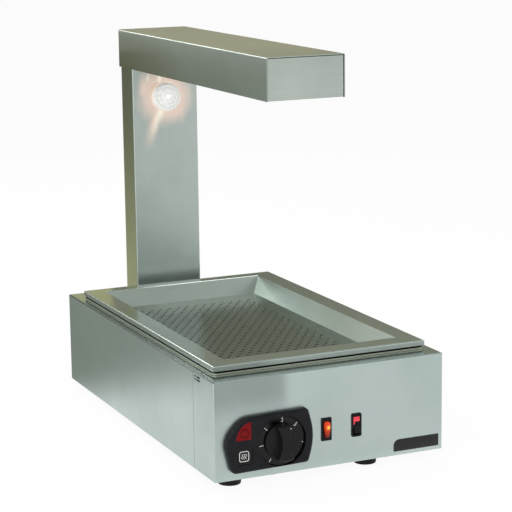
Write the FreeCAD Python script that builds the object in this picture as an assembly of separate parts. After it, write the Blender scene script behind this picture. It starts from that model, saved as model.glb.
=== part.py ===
import FreeCAD, Part
import math
import os

# Counter-top chip warmer: a low sheet-steel cabinet with a heated well, a crumb pan and a
# perforated chip tray that lift out, and a column at the back that carries a heat arm.
# Millimetres. +Z up, the controls face -Y, +X is to the right of someone at the controls.
# The origin is the middle of the whole footprint, on the surface that the feet stand on.

vector = FreeCAD.Vector

# Sheet metal, gaps and fits
sheet = 1.2                  # casing sheet
thin_sheet = 1.0             # tray, pan, well and shield sheet
seat_gap = 0.3               # between pieces that rest on or against each other
running_gap = 0.05           # radial gap of a turning shaft
fixing_gap = 0.1             # radial gap round a fixed shank or tube
overrun = 5.0                # how far a cut runs past the face it opens
fold_width = 14.0            # inward folds that take screws
bend_radius = 2.2            # outside radius of the casing's bends
rim_bend_radius = 1.8        # outside radius of the bend along the tray's rim
mouth_bevel = 0.6            # depth of the eased edge between the tray's rim and its walls

# Cabinet
deck_side = 12.5             # from the tray's rim to the cabinet's sides
deck_rear = 39.3             # from the tray's rim to the cabinet's rear
body_height = 140.0
cover_return = 72.7          # how far the front cover wraps back along the sides and the top
seam_gap = 0.6
tongue_length = 12.0         # fold of the shell that reaches under the front cover
base_upstand = 10.0

# Feet
foot_height = 12.0
foot_radius = 17.5
foot_tip_radius = 15.5
foot_neck_radius = 9.0
foot_edge_inset = 28.0       # foot centres from the cabinet's front and rear
foot_side_inset = 33.0       # foot centres from the cabinet's sides
right_front_foot_inset = 109.0
foot_screw_radius = 2.5

# Screws
screw_radius = 1.9
screw_head_radius = 4.0
screw_head_height = 2.2
screw_length = 8.0
screw_edge = 7.5             # screw centres from the edges of a rear cover
bolt_radius = 3.0
bolt_head_radius = 5.5
bolt_head_height = 4.0
nut_thickness = 5.0
nut_radius = 5.8

# Air slots
side_slot_length = 20.6
side_slot_height = 2.5
side_slot_setback = 47.3     # from the front face to the slots' front ends
side_slot_drop = 6.0         # from the top of the cabinet to the upper slot's middle
side_slot_pitch = 4.3
side_slot_count = 2
air_slot_length = 60.0
air_slot_height = 4.0
air_slot_pitch = 10.0
rear_slot_count = 4
rear_slot_rise = 84.0        # from the cabinet's underside to the lowest rear slot
base_slot_count = 6
base_slot_setback = 180.0

# Chip tray
tray_width = 325.0
tray_length = 530.0
tray_setback = 30.7          # from the cabinet's front face to the tray's rim
tray_rise = 12.8             # from the cabinet's top to the top of the rim
rim_lip = 7.5
rim_side = 29.0
rim_front = 31.5
rim_rear = 22.3
tray_depth = 26.6            # from the top of the rim to the perforated floor
wall_lean = math.radians(25)
floor_ledge = 6.0
hole_radius = 2.4
hole_pitch = 15.3
hole_row_pitch = 11.2
hole_margin_side = 28.5
hole_margin_end = 40.0

# Crumb pan
pan_depth = 40.0
pan_rim_inset = 6.5          # from the tray's outside to the upper fold of the pan's rim
pan_rim_width = 9.9
pan_step_inset = 0.2         # from the tray's outside to the pan's lip
pan_slot = 1.4               # between the tray's lip and the step in the pan's rim
pan_corner_radius = 8.0
pan_rim_radius = 3.0         # at the corners of the rim's upper fold

# Heated well
well_gap = 3.0               # between the pan's walls and the well's
well_space = 17.5            # under the pan, where the heating element lies
hem_width = 4.0
well_flange = 10.0
insulation_thickness = 19.0
shield_upstand = 34.0

# Base heating element
element_radius = 4.25
element_drop = 4.25          # from the pan's underside to the element
element_half_pitch = 34.0
element_front_margin = 38.0  # from the well's wall to the element's terminals
element_bend_margin = 62.0   # from the well's wall to the element's bends
element_leg_radius = 6.8
element_tail = 9.0           # terminals below the heat shield
bush_radius = 7.0
bush_flange_radius = 10.0
bush_flange_height = 2.0
saddle_width = 16.0
saddle_thickness = 1.5
saddle_margin = 110.0        # from the well's end walls to the saddles

# Control panel moulding
bezel_inset = 13.5           # from the cabinet's left side to the moulding
bezel_base = 10.5            # from the cabinet's underside to the moulding's lower edge
bezel_width = 133.0
bezel_height = 79.0
bezel_depth = 10.0
bezel_wall = 2.5
bezel_edge_radius = 4.5
bezel_floor = 3.0            # floor of the dial's recess
# Corners of the moulding's outline: across, up, radius over the height
bezel_outline_shares = [(0.064, 0.0, 0.11), (0.0, 0.46, 0.2), (0.012, 0.667, 0.42), (0.181, 0.97, 0.45),
                        (0.92, 1.0, 0.075), (1.0, 0.5, 1.1), (0.92, 0.03, 0.075)]
window_left = 13.5           # from the moulding's left edge
window_base = 46.5           # from the moulding's lower edge
window_width = 23.0
window_height = 25.0
window_corner_radius = 25.0
# Where the two sides beside the window's round corner would meet: across, up
window_corner_shares = (0.18, 0.84)
icon_left = 13.5
icon_base = 12.0
icon_size = 24.0
inset_depth = 1.5            # recesses for the window and the icon tile
inset_corner_radius = 1.0
bezel_post_radius = 4.0
bezel_post_rise = 39.0
bezel_post_right = 8.0       # from the moulding's right edge to the right post
bezel_post_left = 7.0
index_width = 1.6            # index notch above the dial
index_depth = 1.2

# Control knob, dial and heat regulator
knob_across = 82.5           # from the moulding's left edge to the spindle
knob_rise = 48.0             # from the cabinet's underside to the spindle
knob_reach = 24.0            # from the front face to the knob's face
knob_radius = 25.0
knob_skirt_height = 4.0
knob_waist = 11.0
scoop_radius = 42.0
knob_edge = 1.2
knob_hub_depth = 2.0         # hollow under the knob, over the bush
spindle_cap = 6.0            # knob material over the end of the spindle
dial_radius = 34.0
dial_gap = 1.3               # between the dial and its recess
dial_thickness = 2.4
spindle_radius = 3.0
spindle_tail = 14.0
bush_thread_radius = 5.0
bush_reach = 6.0
regulator_width = 42.0
regulator_depth = 30.0
regulator_corner_radius = 5.0
panel_nut_across = 7.5
panel_nut_thickness = 2.4

# Pilot lamp
pilot_gap = 20.3             # from the moulding's right edge to the lamp's centre
switch_rise = 53.2           # from the cabinet's underside to the centres of lamp and switch
pilot_width = 15.4
pilot_height = 32.5
pilot_body_depth = 24.0
pilot_corner_radius = 1.0
lens_width = 9.4
lens_height = 26.0
lens_reach = 4.0
lens_wall = 2.0
neon_radius = 2.2
neon_length = 11.0
neon_drop = 4.0              # from the lens's top to the neon

# Rocker switch
switch_pitch = 46.4          # between the centres of lamp and switch
rocker_width = 15.3
rocker_height = 33.6
rocker_body_depth = 22.0
rocker_corner_radius = 2.6
switch_flange = 1.6          # thickness of both frames' flanges
switch_border = 2.1          # from a frame's edge to its body
switch_wall = 1.4
switch_end_wall = 0.6
paddle_gap = 0.3
paddle_half_height = 12.6
paddle_throw = math.radians(11)
paddle_depth = 6.0           # from the pivot to the paddle's back
pivot_depth = 4.0            # from the front face to the pivot
paddle_waist = 4.8           # from the pivot to the paddle's lowest front line
rocker_lens_depth = 1.2
pin_radius = 1.2
pin_end_wall = 0.6           # between a pin's end and the outside of the switch's body

# Spade terminals behind the lamp, switch and regulator
tab_width = 6.3
tab_thickness = 0.8
tab_length = 9.0
tab_spacing = 12.0

# Bare name plate
plate_inset = 6.5            # from the cabinet's right side to the plate
plate_rise = 5.6
plate_width = 71.4
plate_height = 17.2
plate_thickness = 0.8
plate_corner_radius = 9.0
plate_edge_radius = 0.8

# Terminal block, cord inlet
block_width = 62.0
block_depth = 24.0
block_height = 18.0
block_setback = 34.0         # from the cabinet's rear to the block's middle
block_gap = 19.0             # from the block's end to the inlet's middle
block_screw_count = 3
gland_inset = 55.0           # from the cabinet's right side to the inlet
gland_rise = 38.0
gland_bore = 4.0
gland_thread_radius = 8.0
gland_flange_radius = 12.0
gland_flange = 4.0
gland_nose_radius = 10.0
gland_nose = 12.0
gland_inner = 10.0
gland_nut_radius = 12.0
gland_nut_thickness = 5.0

# Column
column_width = 112.0
column_depth = 50.0
column_base = 8.0            # from the cabinet's underside to the column's foot
bolt_spacing_across = 76.0
bolt_rise = 16.0             # from the column's foot to the lower bolts
bolt_drop = 40.0             # from the cabinet's top to the upper bolts
grommet_radius = 9.0
grommet_bore = 6.0
grommet_lip = 2.0
grommet_rise = 66.0

# Lamp in the column
lamp_rise = 452.0            # from the cabinet's underside to the lamp
lamp_collar_radius = 19.5
lamp_collar_wall = 1.2
lamp_collar_reach = 6.0
lamp_cup_depth = 33.0
lamp_flange_radius = 24.0
glass_radius = 23.5
glass_skirt = 7.0
glass_reach = 13.0
glass_thickness = 2.4
bulb_radius = 6.5
bulb_length = 30.0
bulb_socket_radius = 12.0
bulb_socket_height = 9.0

# Arm
arm_width = 118.0
arm_height = 60.3
arm_base = 499.6             # from the cabinet's underside to the arm's lower edge
arm_setback = 71.6           # from the cabinet's front face to the arm's front edge
cap_inset = 0.8
cap_return = 16.0
cap_gap = 0.5
cap_edge_radius = 1.0

# Heat reflector, heat tube and guard in the arm
reflector_sheet = 0.8
reflector_front_margin = 22.0
reflector_rear_margin = 18.0
reflector_crown = 52.0       # width of the reflector's flat crown
reflector_skirt = 9.0
reflector_drop = 9.0         # from the arm's roof to the reflector's crown
guard_rise = 2.6             # from the arm's lower edge to the guard's rods
guard_rod_radius = 1.5
guard_rail_spacing = 40.0
guard_pitch = 22.0
guard_rail_end = 4.0         # least run of a rail past the last rod
tube_radius = 6.0
tube_drop = 17.0             # from the reflector's crown to the tube's centre
tube_end_margin = 26.0
holder_width = 22.0
holder_thickness = 10.0
holder_foot = 8.0

# Wiring sleeves
lead_radius = 2.2
thin_lead_radius = 1.6
lead_spacing = 5.0
lead_climb = 60.0            # height over which a lead swings aside in the column
lead_cross_setback = 150.0   # from the front face to where the leads cross over

# Places worked out from the sizes above
body_width = tray_width + 2 * deck_side
body_depth = tray_setback + tray_length + deck_rear
half_width = body_width / 2
overall_depth = knob_reach + body_depth + column_depth + 2 * seat_gap + sheet + screw_head_height
front_y = knob_reach - overall_depth / 2
rear_y = front_y + body_depth
seam_y = front_y + cover_return
underside_z = foot_height
deck_z = underside_z + body_height

rim_z = deck_z + tray_rise
tray_half = tray_width / 2
tray_front_y = front_y + tray_setback
tray_rear_y = tray_front_y + tray_length
mouth_half = tray_half - rim_side
mouth_front_y = tray_front_y + rim_front
mouth_rear_y = tray_rear_y - rim_rear
lean_run = tray_depth * math.tan(wall_lean)
floor_z = rim_z - tray_depth
floor_half = mouth_half - lean_run
floor_front_y = mouth_front_y + lean_run
floor_rear_y = mouth_rear_y - lean_run

pan_rim_z = rim_z - thin_sheet - seat_gap
pan_rim_half = tray_half - pan_rim_inset
pan_rim_front_y = tray_front_y + pan_rim_inset
pan_rim_rear_y = tray_rear_y - pan_rim_inset
pan_step_z = rim_z - rim_lip - pan_slot
pan_lip_z = deck_z + seat_gap
pan_half = pan_rim_half - pan_rim_width
pan_front_y = pan_rim_front_y + pan_rim_width
pan_rear_y = pan_rim_rear_y - pan_rim_width
pan_underside_z = pan_rim_z - pan_depth

well_half = pan_half + well_gap
well_front_y = pan_front_y - well_gap
well_rear_y = pan_rear_y + well_gap
well_top_z = pan_rim_z - thin_sheet - seat_gap
well_floor_z = pan_underside_z - well_space
shield_half = well_half + thin_sheet + seat_gap
shield_front_y = well_front_y - thin_sheet - seat_gap
shield_rear_y = well_rear_y + thin_sheet + seat_gap
insulation_top_z = well_floor_z - thin_sheet - seat_gap
shield_floor_z = insulation_top_z - insulation_thickness
element_z = pan_underside_z - element_drop - element_radius
element_end_z = shield_floor_z - thin_sheet - element_tail

bezel_x = -half_width + bezel_inset
knob_x = bezel_x + knob_across
knob_z = underside_z + knob_rise
pilot_x = bezel_x + bezel_width + pilot_gap
rocker_x = pilot_x + switch_pitch
switch_z = underside_z + switch_rise
bezel_z = underside_z + bezel_base
gland_x = half_width - gland_inset
back_of_front_y = front_y + sheet

column_front_y = rear_y + seat_gap
column_rear_y = column_front_y + column_depth
column_half = column_width / 2
column_z = underside_z + column_base
lamp_z = underside_z + lamp_rise
arm_half = arm_width / 2
arm_z = underside_z + arm_base
arm_top_z = arm_z + arm_height
arm_front_y = front_y + arm_setback
arm_rear_y = column_rear_y + seat_gap + sheet
column_top_z = arm_top_z - sheet - seat_gap
reflector_z = arm_top_z - sheet - reflector_drop
reflector_front_y = arm_front_y + reflector_front_margin
reflector_rear_y = column_front_y - reflector_rear_margin
tube_z = reflector_z - tube_drop
guard_z = arm_z + guard_rise


# Plain shapes

def block(x0, x1, y0, y1, z0, z1):
    return Part.makeBox(x1 - x0, y1 - y0, z1 - z0, vector(x0, y0, z0))


def rod(radius, start, end):
    line = end - start
    return Part.makeCylinder(radius, line.Length, start, line)


def tube(radius, bore, start, end):
    return rod(radius, start, end).cut(rod(bore, start, end))


def joined(shapes):
    first, rest = shapes[0], shapes[1:]
    return first.fuse(rest).removeSplitter() if rest else first


def flat(across, up):
    return vector(across, up, 0)


def facing(across, up):
    return vector(across, 0, up)


def rounded_face(corners, place):
    # A closed outline of straight sides, each corner (across, up, radius) an arc that meets them.
    edges, starts, ends = [], [], []
    count = len(corners)
    for index, (across, up, radius) in enumerate(corners):
        corner = place(across, up)
        before = place(*corners[index - 1][:2]) - corner
        after = place(*corners[(index + 1) % count][:2]) - corner
        if radius == 0:
            starts.append(corner)
            ends.append(corner)
            continue
        before.normalize()
        after.normalize()
        half_angle = before.getAngle(after) / 2
        bisector = before + after
        bisector.normalize()
        run = radius / math.tan(half_angle)
        middle = corner + bisector * (radius / math.sin(half_angle) - radius)
        starts.append(corner + before * run)
        ends.append(corner + after * run)
        edges.append(Part.Arc(starts[-1], middle, ends[-1]).toShape())
    for index in range(count):
        edges.append(Part.LineSegment(ends[index - 1], starts[index]).toShape())
    return Part.Face(Part.Wire(Part.__sortEdges__(edges)))


def slab(x0, x1, y0, y1, z0, z1, radius):
    # A plate lying flat, its four upright edges rounded.
    corners = [(x0, y0, radius), (x1, y0, radius), (x1, y1, radius), (x0, y1, radius)]
    face = rounded_face(corners, flat)
    face.translate(vector(0, 0, z0))
    return face.extrude(vector(0, 0, z1 - z0))


def front_plate(corners, y0, y1):
    # A plate standing upright, its outline seen from the front.
    face = rounded_face(corners, facing)
    face.translate(vector(0, y0, 0))
    return face.extrude(vector(0, y1 - y0, 0))


def front_rectangle(x, z, width, height, radius):
    left, right = x - width / 2, x + width / 2
    low, high = z - height / 2, z + height / 2
    return [(left, low, radius), (right, low, radius), (right, high, radius), (left, high, radius)]


def front_disc(radius, x, z, y0, y1):
    return rod(radius, vector(x, y0, z), vector(x, y1, z))


def upright_disc(radius, x, y, z0, z1):
    return rod(radius, vector(x, y, z0), vector(x, y, z1))


def hexagon(radius, x, z, y0, y1):
    angles = [math.radians(60 * turn) for turn in range(6)]
    corners = [(x + radius * math.cos(angle), z + radius * math.sin(angle), 0) for angle in angles]
    return front_plate(corners, y0, y1)


def frustum(half_low, y_low, half_high, y_high, z_low, z_high):
    # A rectangular funnel's filling, centred across, between two levels.
    wires = []
    for half, (y0, y1), z in ((half_low, y_low, z_low), (half_high, y_high, z_high)):
        points = [vector(-half, y0, z), vector(half, y0, z), vector(half, y1, z), vector(-half, y1, z)]
        wires.append(Part.makePolygon(points + points[:1]))
    return Part.makeLoft(wires, True, True)


def routed(points, radius):
    # A round lead along straight runs joined by tangent arcs.
    edges, last = [], points[0]
    for index in range(1, len(points) - 1):
        corner = points[index]
        before = points[index - 1] - corner
        after = points[index + 1] - corner
        half_angle = before.getAngle(after) / 2
        shorter = min(before.Length, after.Length)
        bend = bend_share * shorter * math.tan(half_angle)
        before.normalize()
        after.normalize()
        bisector = before + after
        bisector.normalize()
        run = bend / math.tan(half_angle)
        start, end = corner + before * run, corner + after * run
        middle = corner + bisector * (bend / math.sin(half_angle) - bend)
        edges.append(Part.LineSegment(last, start).toShape())
        edges.append(Part.Arc(start, middle, end).toShape())
        last = end
    edges.append(Part.LineSegment(last, points[-1]).toShape())
    path = Part.Wire(edges)
    section = Part.Wire(Part.makeCircle(radius, points[0], points[1] - points[0]))
    return path.makePipeShell([section], True, False)


bend_share = 0.45            # of the shorter run, taken up by a bend on each side


def screw(x, y, z, head_side):
    # A pan-head screw along Y whose head stands on the plane y, towards head_side.
    head = front_disc(screw_head_radius, x, z, y, y + head_side * screw_head_height)
    edge = max(head.Edges, key=lambda piece: piece.CenterOfMass.y * head_side)
    head = head.makeFillet(screw_head_height / 2, [edge])
    shank = front_disc(screw_radius, x, z, y, y - head_side * screw_length)
    return head.fuse(shank)


# Cabinet casing

def well_opening(gap):
    # Cuts the deck where the well stands through it.
    wall = thin_sheet + gap
    low, high = deck_z - cover_return, deck_z + overrun
    return block(-well_half - wall, well_half + wall, well_front_y - wall, well_rear_y + wall, low, high)


def arch(half, y0, y1, z0, z1, radius):
    # A solid with square lower edges and rounded upper edges, running along Y.
    corners = [(-half, z0, 0), (half, z0, 0), (half, z1, radius), (-half, z1, radius)]
    return front_plate(corners, y0, y1)


def channel(half, y0, y1, z0, z1, thickness, radius):
    # Two sides and a top, open below and at both ends.
    outer = arch(half, y0, y1, z0, z1, radius)
    inner_radius = max(radius - thickness, fixing_gap)
    return outer.cut(arch(half - thickness, y0 - overrun, y1 + overrun, z0 - overrun, z1 - thickness,
                          inner_radius))


def cabinet_shell():
    front, rear = seam_y + seam_gap / 2, rear_y - sheet
    skin = channel(half_width, front, rear, underside_z, deck_z, sheet, bend_radius)
    low = underside_z + 2 * sheet + seat_gap
    inside = bend_radius - sheet
    riser = channel(half_width - sheet, front, front + fold_width, low, deck_z - sheet, sheet, inside)
    under = half_width - sheet - seat_gap
    top = deck_z - sheet - seat_gap
    tongue = channel(under, front - tongue_length, front + fold_width, low, top, sheet, inside)
    beside = well_half + thin_sheet + well_flange + seat_gap
    flange_way = block(-beside, beside, front_y, seam_y + 2 * fold_width, deck_z - fold_width,
                       deck_z - sheet)
    joggle = riser.fuse(tongue).cut(flange_way)
    folds = []
    for side in (-1, 1):
        x0, x1 = sorted((side * half_width, side * (half_width - fold_width)))
        folds.append(block(x0, x1, rear - sheet, rear, underside_z, deck_z - bend_radius))
        folds.append(block(x0, x1, front, rear, underside_z, underside_z + sheet))
    folds.append(arch(half_width, rear - sheet, rear, deck_z - fold_width, deck_z, bend_radius))
    shell = joined([skin, joggle] + folds).cut(well_opening(seat_gap))
    return shell.cut(rear_cover_screw_holes() + base_screw_holes())


def side_slots():
    cuts = []
    for index in range(side_slot_count):
        z = deck_z - side_slot_drop - index * side_slot_pitch
        y = front_y + side_slot_setback
        low, high = z - side_slot_height / 2, z + side_slot_height / 2
        end = y + side_slot_length
        cuts.append(block(-half_width - overrun, half_width + overrun, y, end, low, high))
    return cuts


def boxed(half, y0, y1, z0, z1, radius):
    # A block whose front upright edges and upper side and front edges are rounded.
    solid = block(-half, half, y0, y1, z0, z1)
    chosen = []
    for edge in solid.Edges:
        middle = edge.CenterOfMass
        upright_front = middle.y < (y0 + y1) / 2 and abs(middle.x) > half / 2 and z0 < middle.z < z1
        upper = middle.z > (z0 + z1) / 2 and middle.y < y1
        if upright_front or upper and not (abs(middle.x) < half / 2 and middle.y > (y0 + y1) / 2):
            chosen.append(edge)
    return solid.makeFillet(radius, chosen)


def front_cover():
    rear = seam_y - seam_gap / 2
    skin = boxed(half_width, front_y, rear, underside_z, deck_z, bend_radius)
    inside = boxed(half_width - sheet, back_of_front_y, rear + overrun, underside_z - overrun,
                   deck_z - sheet,
                   bend_radius - sheet)
    half = half_width - sheet
    fold = block(-half, half, back_of_front_y, back_of_front_y + fold_width, underside_z,
                 underside_z + sheet)
    cover = joined([skin.cut(inside), fold]).cut([well_opening(seat_gap)] + base_screw_holes())
    y0, y1 = front_y - overrun, back_of_front_y + overrun
    cuts = side_slots()
    cuts.append(front_disc(bush_thread_radius + fixing_gap, knob_x, knob_z, y0, y1))
    for x, width, height in switch_bodies():
        side, lift = width + 2 * fixing_gap, height + 2 * fixing_gap
        cuts.append(front_plate(front_rectangle(x, switch_z, side, lift, 0), y0, y1))
    for x, z in bezel_post_places():
        cuts.append(front_disc(screw_radius + fixing_gap, x, z, y0, y1))
    return cover.cut(cuts)


def rear_cover_screw_places():
    half = half_width - screw_edge
    low, high = underside_z + screw_edge, deck_z - screw_edge
    return [(side * half, z) for side in (-1, 1) for z in (low, (low + high) / 2, high)]


def rear_cover_screw_holes():
    y0, y1 = rear_y - sheet - fold_width, rear_y + overrun
    hole = screw_radius + fixing_gap
    return [front_disc(hole, x, z, y0, y1) for x, z in rear_cover_screw_places()]


def base_screw_places():
    y0, y1 = seam_y + fold_width, rear_y - sheet - 2 * fold_width
    half = half_width - screw_edge
    places = [(side * half, y) for side in (-1, 1) for y in (y0, (y0 + y1) / 2, y1)]
    return places + [(side * half_width / 2, back_of_front_y + screw_edge) for side in (-1, 1)]


def base_screw_holes():
    z0, z1 = underside_z - overrun, underside_z + 2 * sheet + overrun
    hole = screw_radius + fixing_gap
    return [upright_disc(hole, x, y, z0, z1) for x, y in base_screw_places()]


def bolt_places():
    half = bolt_spacing_across / 2
    return [(side * half, z) for side in (-1, 1) for z in (column_z + bolt_rise, deck_z - bolt_drop)]


def bolt_holes():
    y0, y1 = rear_y - sheet - overrun, column_front_y + sheet + overrun
    holes = [front_disc(bolt_radius + fixing_gap, x, z, y0, y1) for x, z in bolt_places()]
    holes.append(front_disc(grommet_radius + fixing_gap, 0, column_z + grommet_rise, y0, y1))
    return holes


def rear_panel():
    panel = arch(half_width, rear_y - sheet, rear_y, underside_z, deck_z, bend_radius)
    cuts = rear_cover_screw_holes() + bolt_holes()
    cuts.append(front_disc(gland_thread_radius + fixing_gap, gland_x, gland_z(), rear_y - overrun,
                           rear_y + overrun))
    between = (half_width + column_half) / 2
    slot_end = air_slot_height / 2 - fixing_gap
    for side in (-1, 1):
        for index in range(rear_slot_count):
            z = underside_z + rear_slot_rise + index * air_slot_pitch
            shape = front_rectangle(side * between, z, air_slot_length, air_slot_height, slot_end)
            cuts.append(front_plate(shape, rear_y - overrun, rear_y + overrun))
    return panel.cut(cuts)


def base_plate():
    half = half_width - sheet - seat_gap
    y0, y1 = back_of_front_y + seat_gap, rear_y - 2 * sheet - seat_gap
    z0 = underside_z + sheet
    plate = block(-half, half, y0, y1, z0, z0 + sheet)
    rims = []
    for side in (-1, 1):
        x0, x1 = sorted((side * (half - fold_width), side * (half - fold_width - sheet)))
        rims.append(block(x0, x1, y0 + fold_width, y1 - fold_width, z0, z0 + sheet + base_upstand))
    cuts = base_screw_holes()
    slot_end = air_slot_height / 2 - fixing_gap
    for x, y in foot_places().values():
        cuts.append(upright_disc(foot_screw_radius + fixing_gap, x, y, 0, z0 + sheet + overrun))
    for index in range(base_slot_count):
        y = front_y + base_slot_setback + index * 2 * air_slot_pitch
        x0, x1 = -air_slot_length / 2, air_slot_length / 2
        cuts.append(slab(x0, x1, y, y + air_slot_height, z0 - overrun, z0 + sheet + overrun, slot_end))
    return joined([plate] + rims).cut(cuts)


def foot_places():
    front, rear = front_y + foot_edge_inset, rear_y - foot_edge_inset
    half = half_width - foot_side_inset
    right = half_width - right_front_foot_inset
    return {"front_left": (-half, front), "front_right": (right, front), "rear_left": (-half, rear),
            "rear_right": (half, rear)}


def foot(x, y):
    # A rubber foot that tapers to its tip, with a neck up to the base plate and a screw pocket.
    body = Part.makeCone(foot_tip_radius, foot_radius, foot_height, vector(x, y, 0))
    neck = upright_disc(foot_neck_radius, x, y, foot_height - sheet, foot_height + sheet)
    pocket = upright_disc(screw_head_radius + fixing_gap, x, y, -overrun, foot_height / 2)
    bore = upright_disc(foot_screw_radius + fixing_gap, x, y, 0, foot_height + 2 * sheet)
    return body.fuse(neck).cut([pocket, bore])


def foot_screws():
    screws = []
    for x, y in foot_places().values():
        shank = upright_disc(foot_screw_radius, x, y, foot_height / 2,
                             foot_height + 2 * sheet + nut_thickness)
        head = upright_disc(screw_head_radius, x, y, foot_height / 2 - screw_head_height, foot_height / 2)
        nut_base = foot_height + 2 * sheet
        nut = upright_disc(screw_head_radius, x, y, nut_base, nut_base + screw_head_height)
        screws.append(joined([shank, head, nut]))
    return Part.makeCompound(screws)


def case_screws():
    screws = [screw(x, rear_y, z, 1) for x, z in rear_cover_screw_places()]
    screws += [screw(x, column_rear_y, z, 1) for x, z in column_screw_places()]
    screws += [screw(x, arm_rear_y, z, 1) for x, z in arm_screw_places()]
    for x, y in base_screw_places():
        head = upright_disc(screw_head_radius, x, y, underside_z - screw_head_height, underside_z)
        shank = upright_disc(screw_radius, x, y, underside_z, underside_z + screw_length)
        screws.append(head.fuse(shank))
    return Part.makeCompound(screws)


# Chip tray and crumb pan

def topped(half, y0, y1, z0, z1, radius):
    # A flat block whose upper edges are all rounded.
    solid = block(-half, half, y0, y1, z0, z1)
    upper = [edge for edge in solid.Edges if edge.CenterOfMass.z > (z0 + z1) / 2 + abs(z1 - z0) / 4]
    return solid.makeFillet(radius, upper)


def chip_tray():
    z_rim = rim_z - thin_sheet
    rim = topped(tray_half, tray_front_y, tray_rear_y, rim_z - rim_lip, rim_z, rim_bend_radius)
    lip = thin_sheet
    under = topped(tray_half - lip, tray_front_y + lip, tray_rear_y - lip, rim_z - rim_lip - overrun, z_rim,
                   rim_bend_radius - lip)
    mouth = (mouth_front_y, mouth_rear_y)
    wall = thin_sheet / math.cos(wall_lean)
    ledge_z = floor_z - 2 * thin_sheet
    drop = rim_z - ledge_z
    run = drop * math.tan(wall_lean)
    low = (mouth_front_y + run, mouth_rear_y - run)
    outer_low = (low[0] - wall, low[1] + wall)
    outer_high = (mouth[0] - wall, mouth[1] + wall)
    outer = frustum(mouth_half - run + wall, outer_low, mouth_half + wall, outer_high, ledge_z, rim_z)
    inner = frustum(mouth_half - run, low, mouth_half, mouth, ledge_z, rim_z)
    half = mouth_half - run
    ledge = block(-half - wall / 2, half + wall / 2, low[0] - wall / 2, low[1] + wall / 2, ledge_z,
                  ledge_z + thin_sheet)
    hole = block(-floor_half + floor_ledge, floor_half - floor_ledge, floor_front_y + floor_ledge,
                 floor_rear_y - floor_ledge,
                 ledge_z - overrun, ledge_z + overrun)
    tray = rim.cut(under).fuse(outer).cut(inner).fuse(ledge).cut(hole)
    inward = mouth_bevel * math.tan(wall_lean)
    outward = mouth_bevel * math.tan((math.pi / 2 + wall_lean) / 2) - inward
    deep = (mouth_front_y + inward, mouth_rear_y - inward)
    wide = (mouth_front_y - outward, mouth_rear_y + outward)
    eased = frustum(mouth_half - inward, deep, mouth_half + outward, wide, rim_z - mouth_bevel, rim_z)
    return tray.cut(eased).removeSplitter()


def hole_rows():
    # Staggered rows: each second row has one hole fewer and stands half a pitch across.
    columns = int((2 * floor_half - 2 * hole_margin_side) / hole_pitch) + 1
    length = floor_rear_y - floor_front_y - 2 * hole_margin_end
    rows = int(length / hole_row_pitch) + 1
    middle_y = (floor_front_y + floor_rear_y) / 2
    places = []
    for row in range(rows):
        y = middle_y + (row - (rows - 1) / 2) * hole_row_pitch
        count = columns - 1 + (rows - row) % 2
        for column in range(count):
            places.append(((column - (count - 1) / 2) * hole_pitch, y))
    return places


def tray_floor():
    # The perforated sheet lies on the tray's ledge.
    margin = seat_gap + thin_sheet * math.tan(wall_lean)
    half = floor_half - margin
    y0, y1 = floor_front_y + margin, floor_rear_y - margin
    z = floor_z - thin_sheet
    corners = [vector(-half, y0, z), vector(half, y0, z), vector(half, y1, z), vector(-half, y1, z)]
    outline = Part.makePolygon(corners + corners[:1])
    holes = [Part.Wire(Part.makeCircle(hole_radius, vector(x, y, z))) for x, y in hole_rows()]
    face = Part.makeFace([outline] + holes, "Part::FaceMakerBullseye")
    return face.extrude(vector(0, 0, thin_sheet))


def crumb_pan():
    radius = pan_corner_radius
    z0, z1 = pan_underside_z, pan_rim_z
    wall = thin_sheet
    body = slab(-pan_half, pan_half, pan_front_y, pan_rear_y, z0, z1, radius)
    rim = slab(-pan_rim_half, pan_rim_half, pan_rim_front_y, pan_rim_rear_y, pan_lip_z, z1,
               pan_rim_radius)
    inside_half = pan_rim_half - wall
    under = slab(-inside_half, inside_half, pan_rim_front_y + wall, pan_rim_rear_y - wall,
                 pan_lip_z - overrun, z1 - wall,
                 pan_rim_radius - wall)
    # The rim steps down and out to a lip under the tray's own.
    inset = pan_step_inset
    half, y0, y1 = tray_half - inset, tray_front_y + inset, tray_rear_y - inset
    step = slab(-half, half, y0, y1, pan_lip_z, pan_step_z, radius)
    step_under = slab(-half + wall, half - wall, y0 + wall, y1 - wall, pan_lip_z - overrun,
                      pan_step_z - wall, radius - wall)
    hollow = slab(-pan_half + wall, pan_half - wall, pan_front_y + wall, pan_rear_y - wall, z0 + wall,
                  z1 + overrun,
                  radius - wall)
    return rim.fuse(step).cut(step_under).cut(under).fuse(body).cut(hollow).removeSplitter()


# Heated well

def open_box(half, y0, y1, z0, z1, wall):
    # A box open at the top; the sizes are those of its inside, over a floor whose top is z0.
    outer = block(-half - wall, half + wall, y0 - wall, y1 + wall, z0 - wall, z1)
    return outer.cut(block(-half, half, y0, y1, z0, z1 + overrun))


def ledge_round_well(width, z0, z1):
    wall = thin_sheet
    outer = block(-well_half - wall - width, well_half + wall + width, well_front_y - wall - width,
                  well_rear_y + wall + width,
                  z0, z1)
    return outer.cut(block(-well_half, well_half, well_front_y, well_rear_y, z0 - overrun, z1 + overrun))


def well_liner():
    box = open_box(well_half, well_front_y, well_rear_y, well_floor_z, well_top_z, thin_sheet)
    hem = ledge_round_well(hem_width, well_top_z - thin_sheet, well_top_z)
    under_deck = deck_z - sheet
    flange = ledge_round_well(well_flange, under_deck - thin_sheet, under_deck)
    cuts = [upright_disc(bush_radius + fixing_gap, x, y, 0, well_floor_z + overrun) for x,
            y in element_ends()]
    return joined([box, hem, flange]).cut(cuts)


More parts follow.
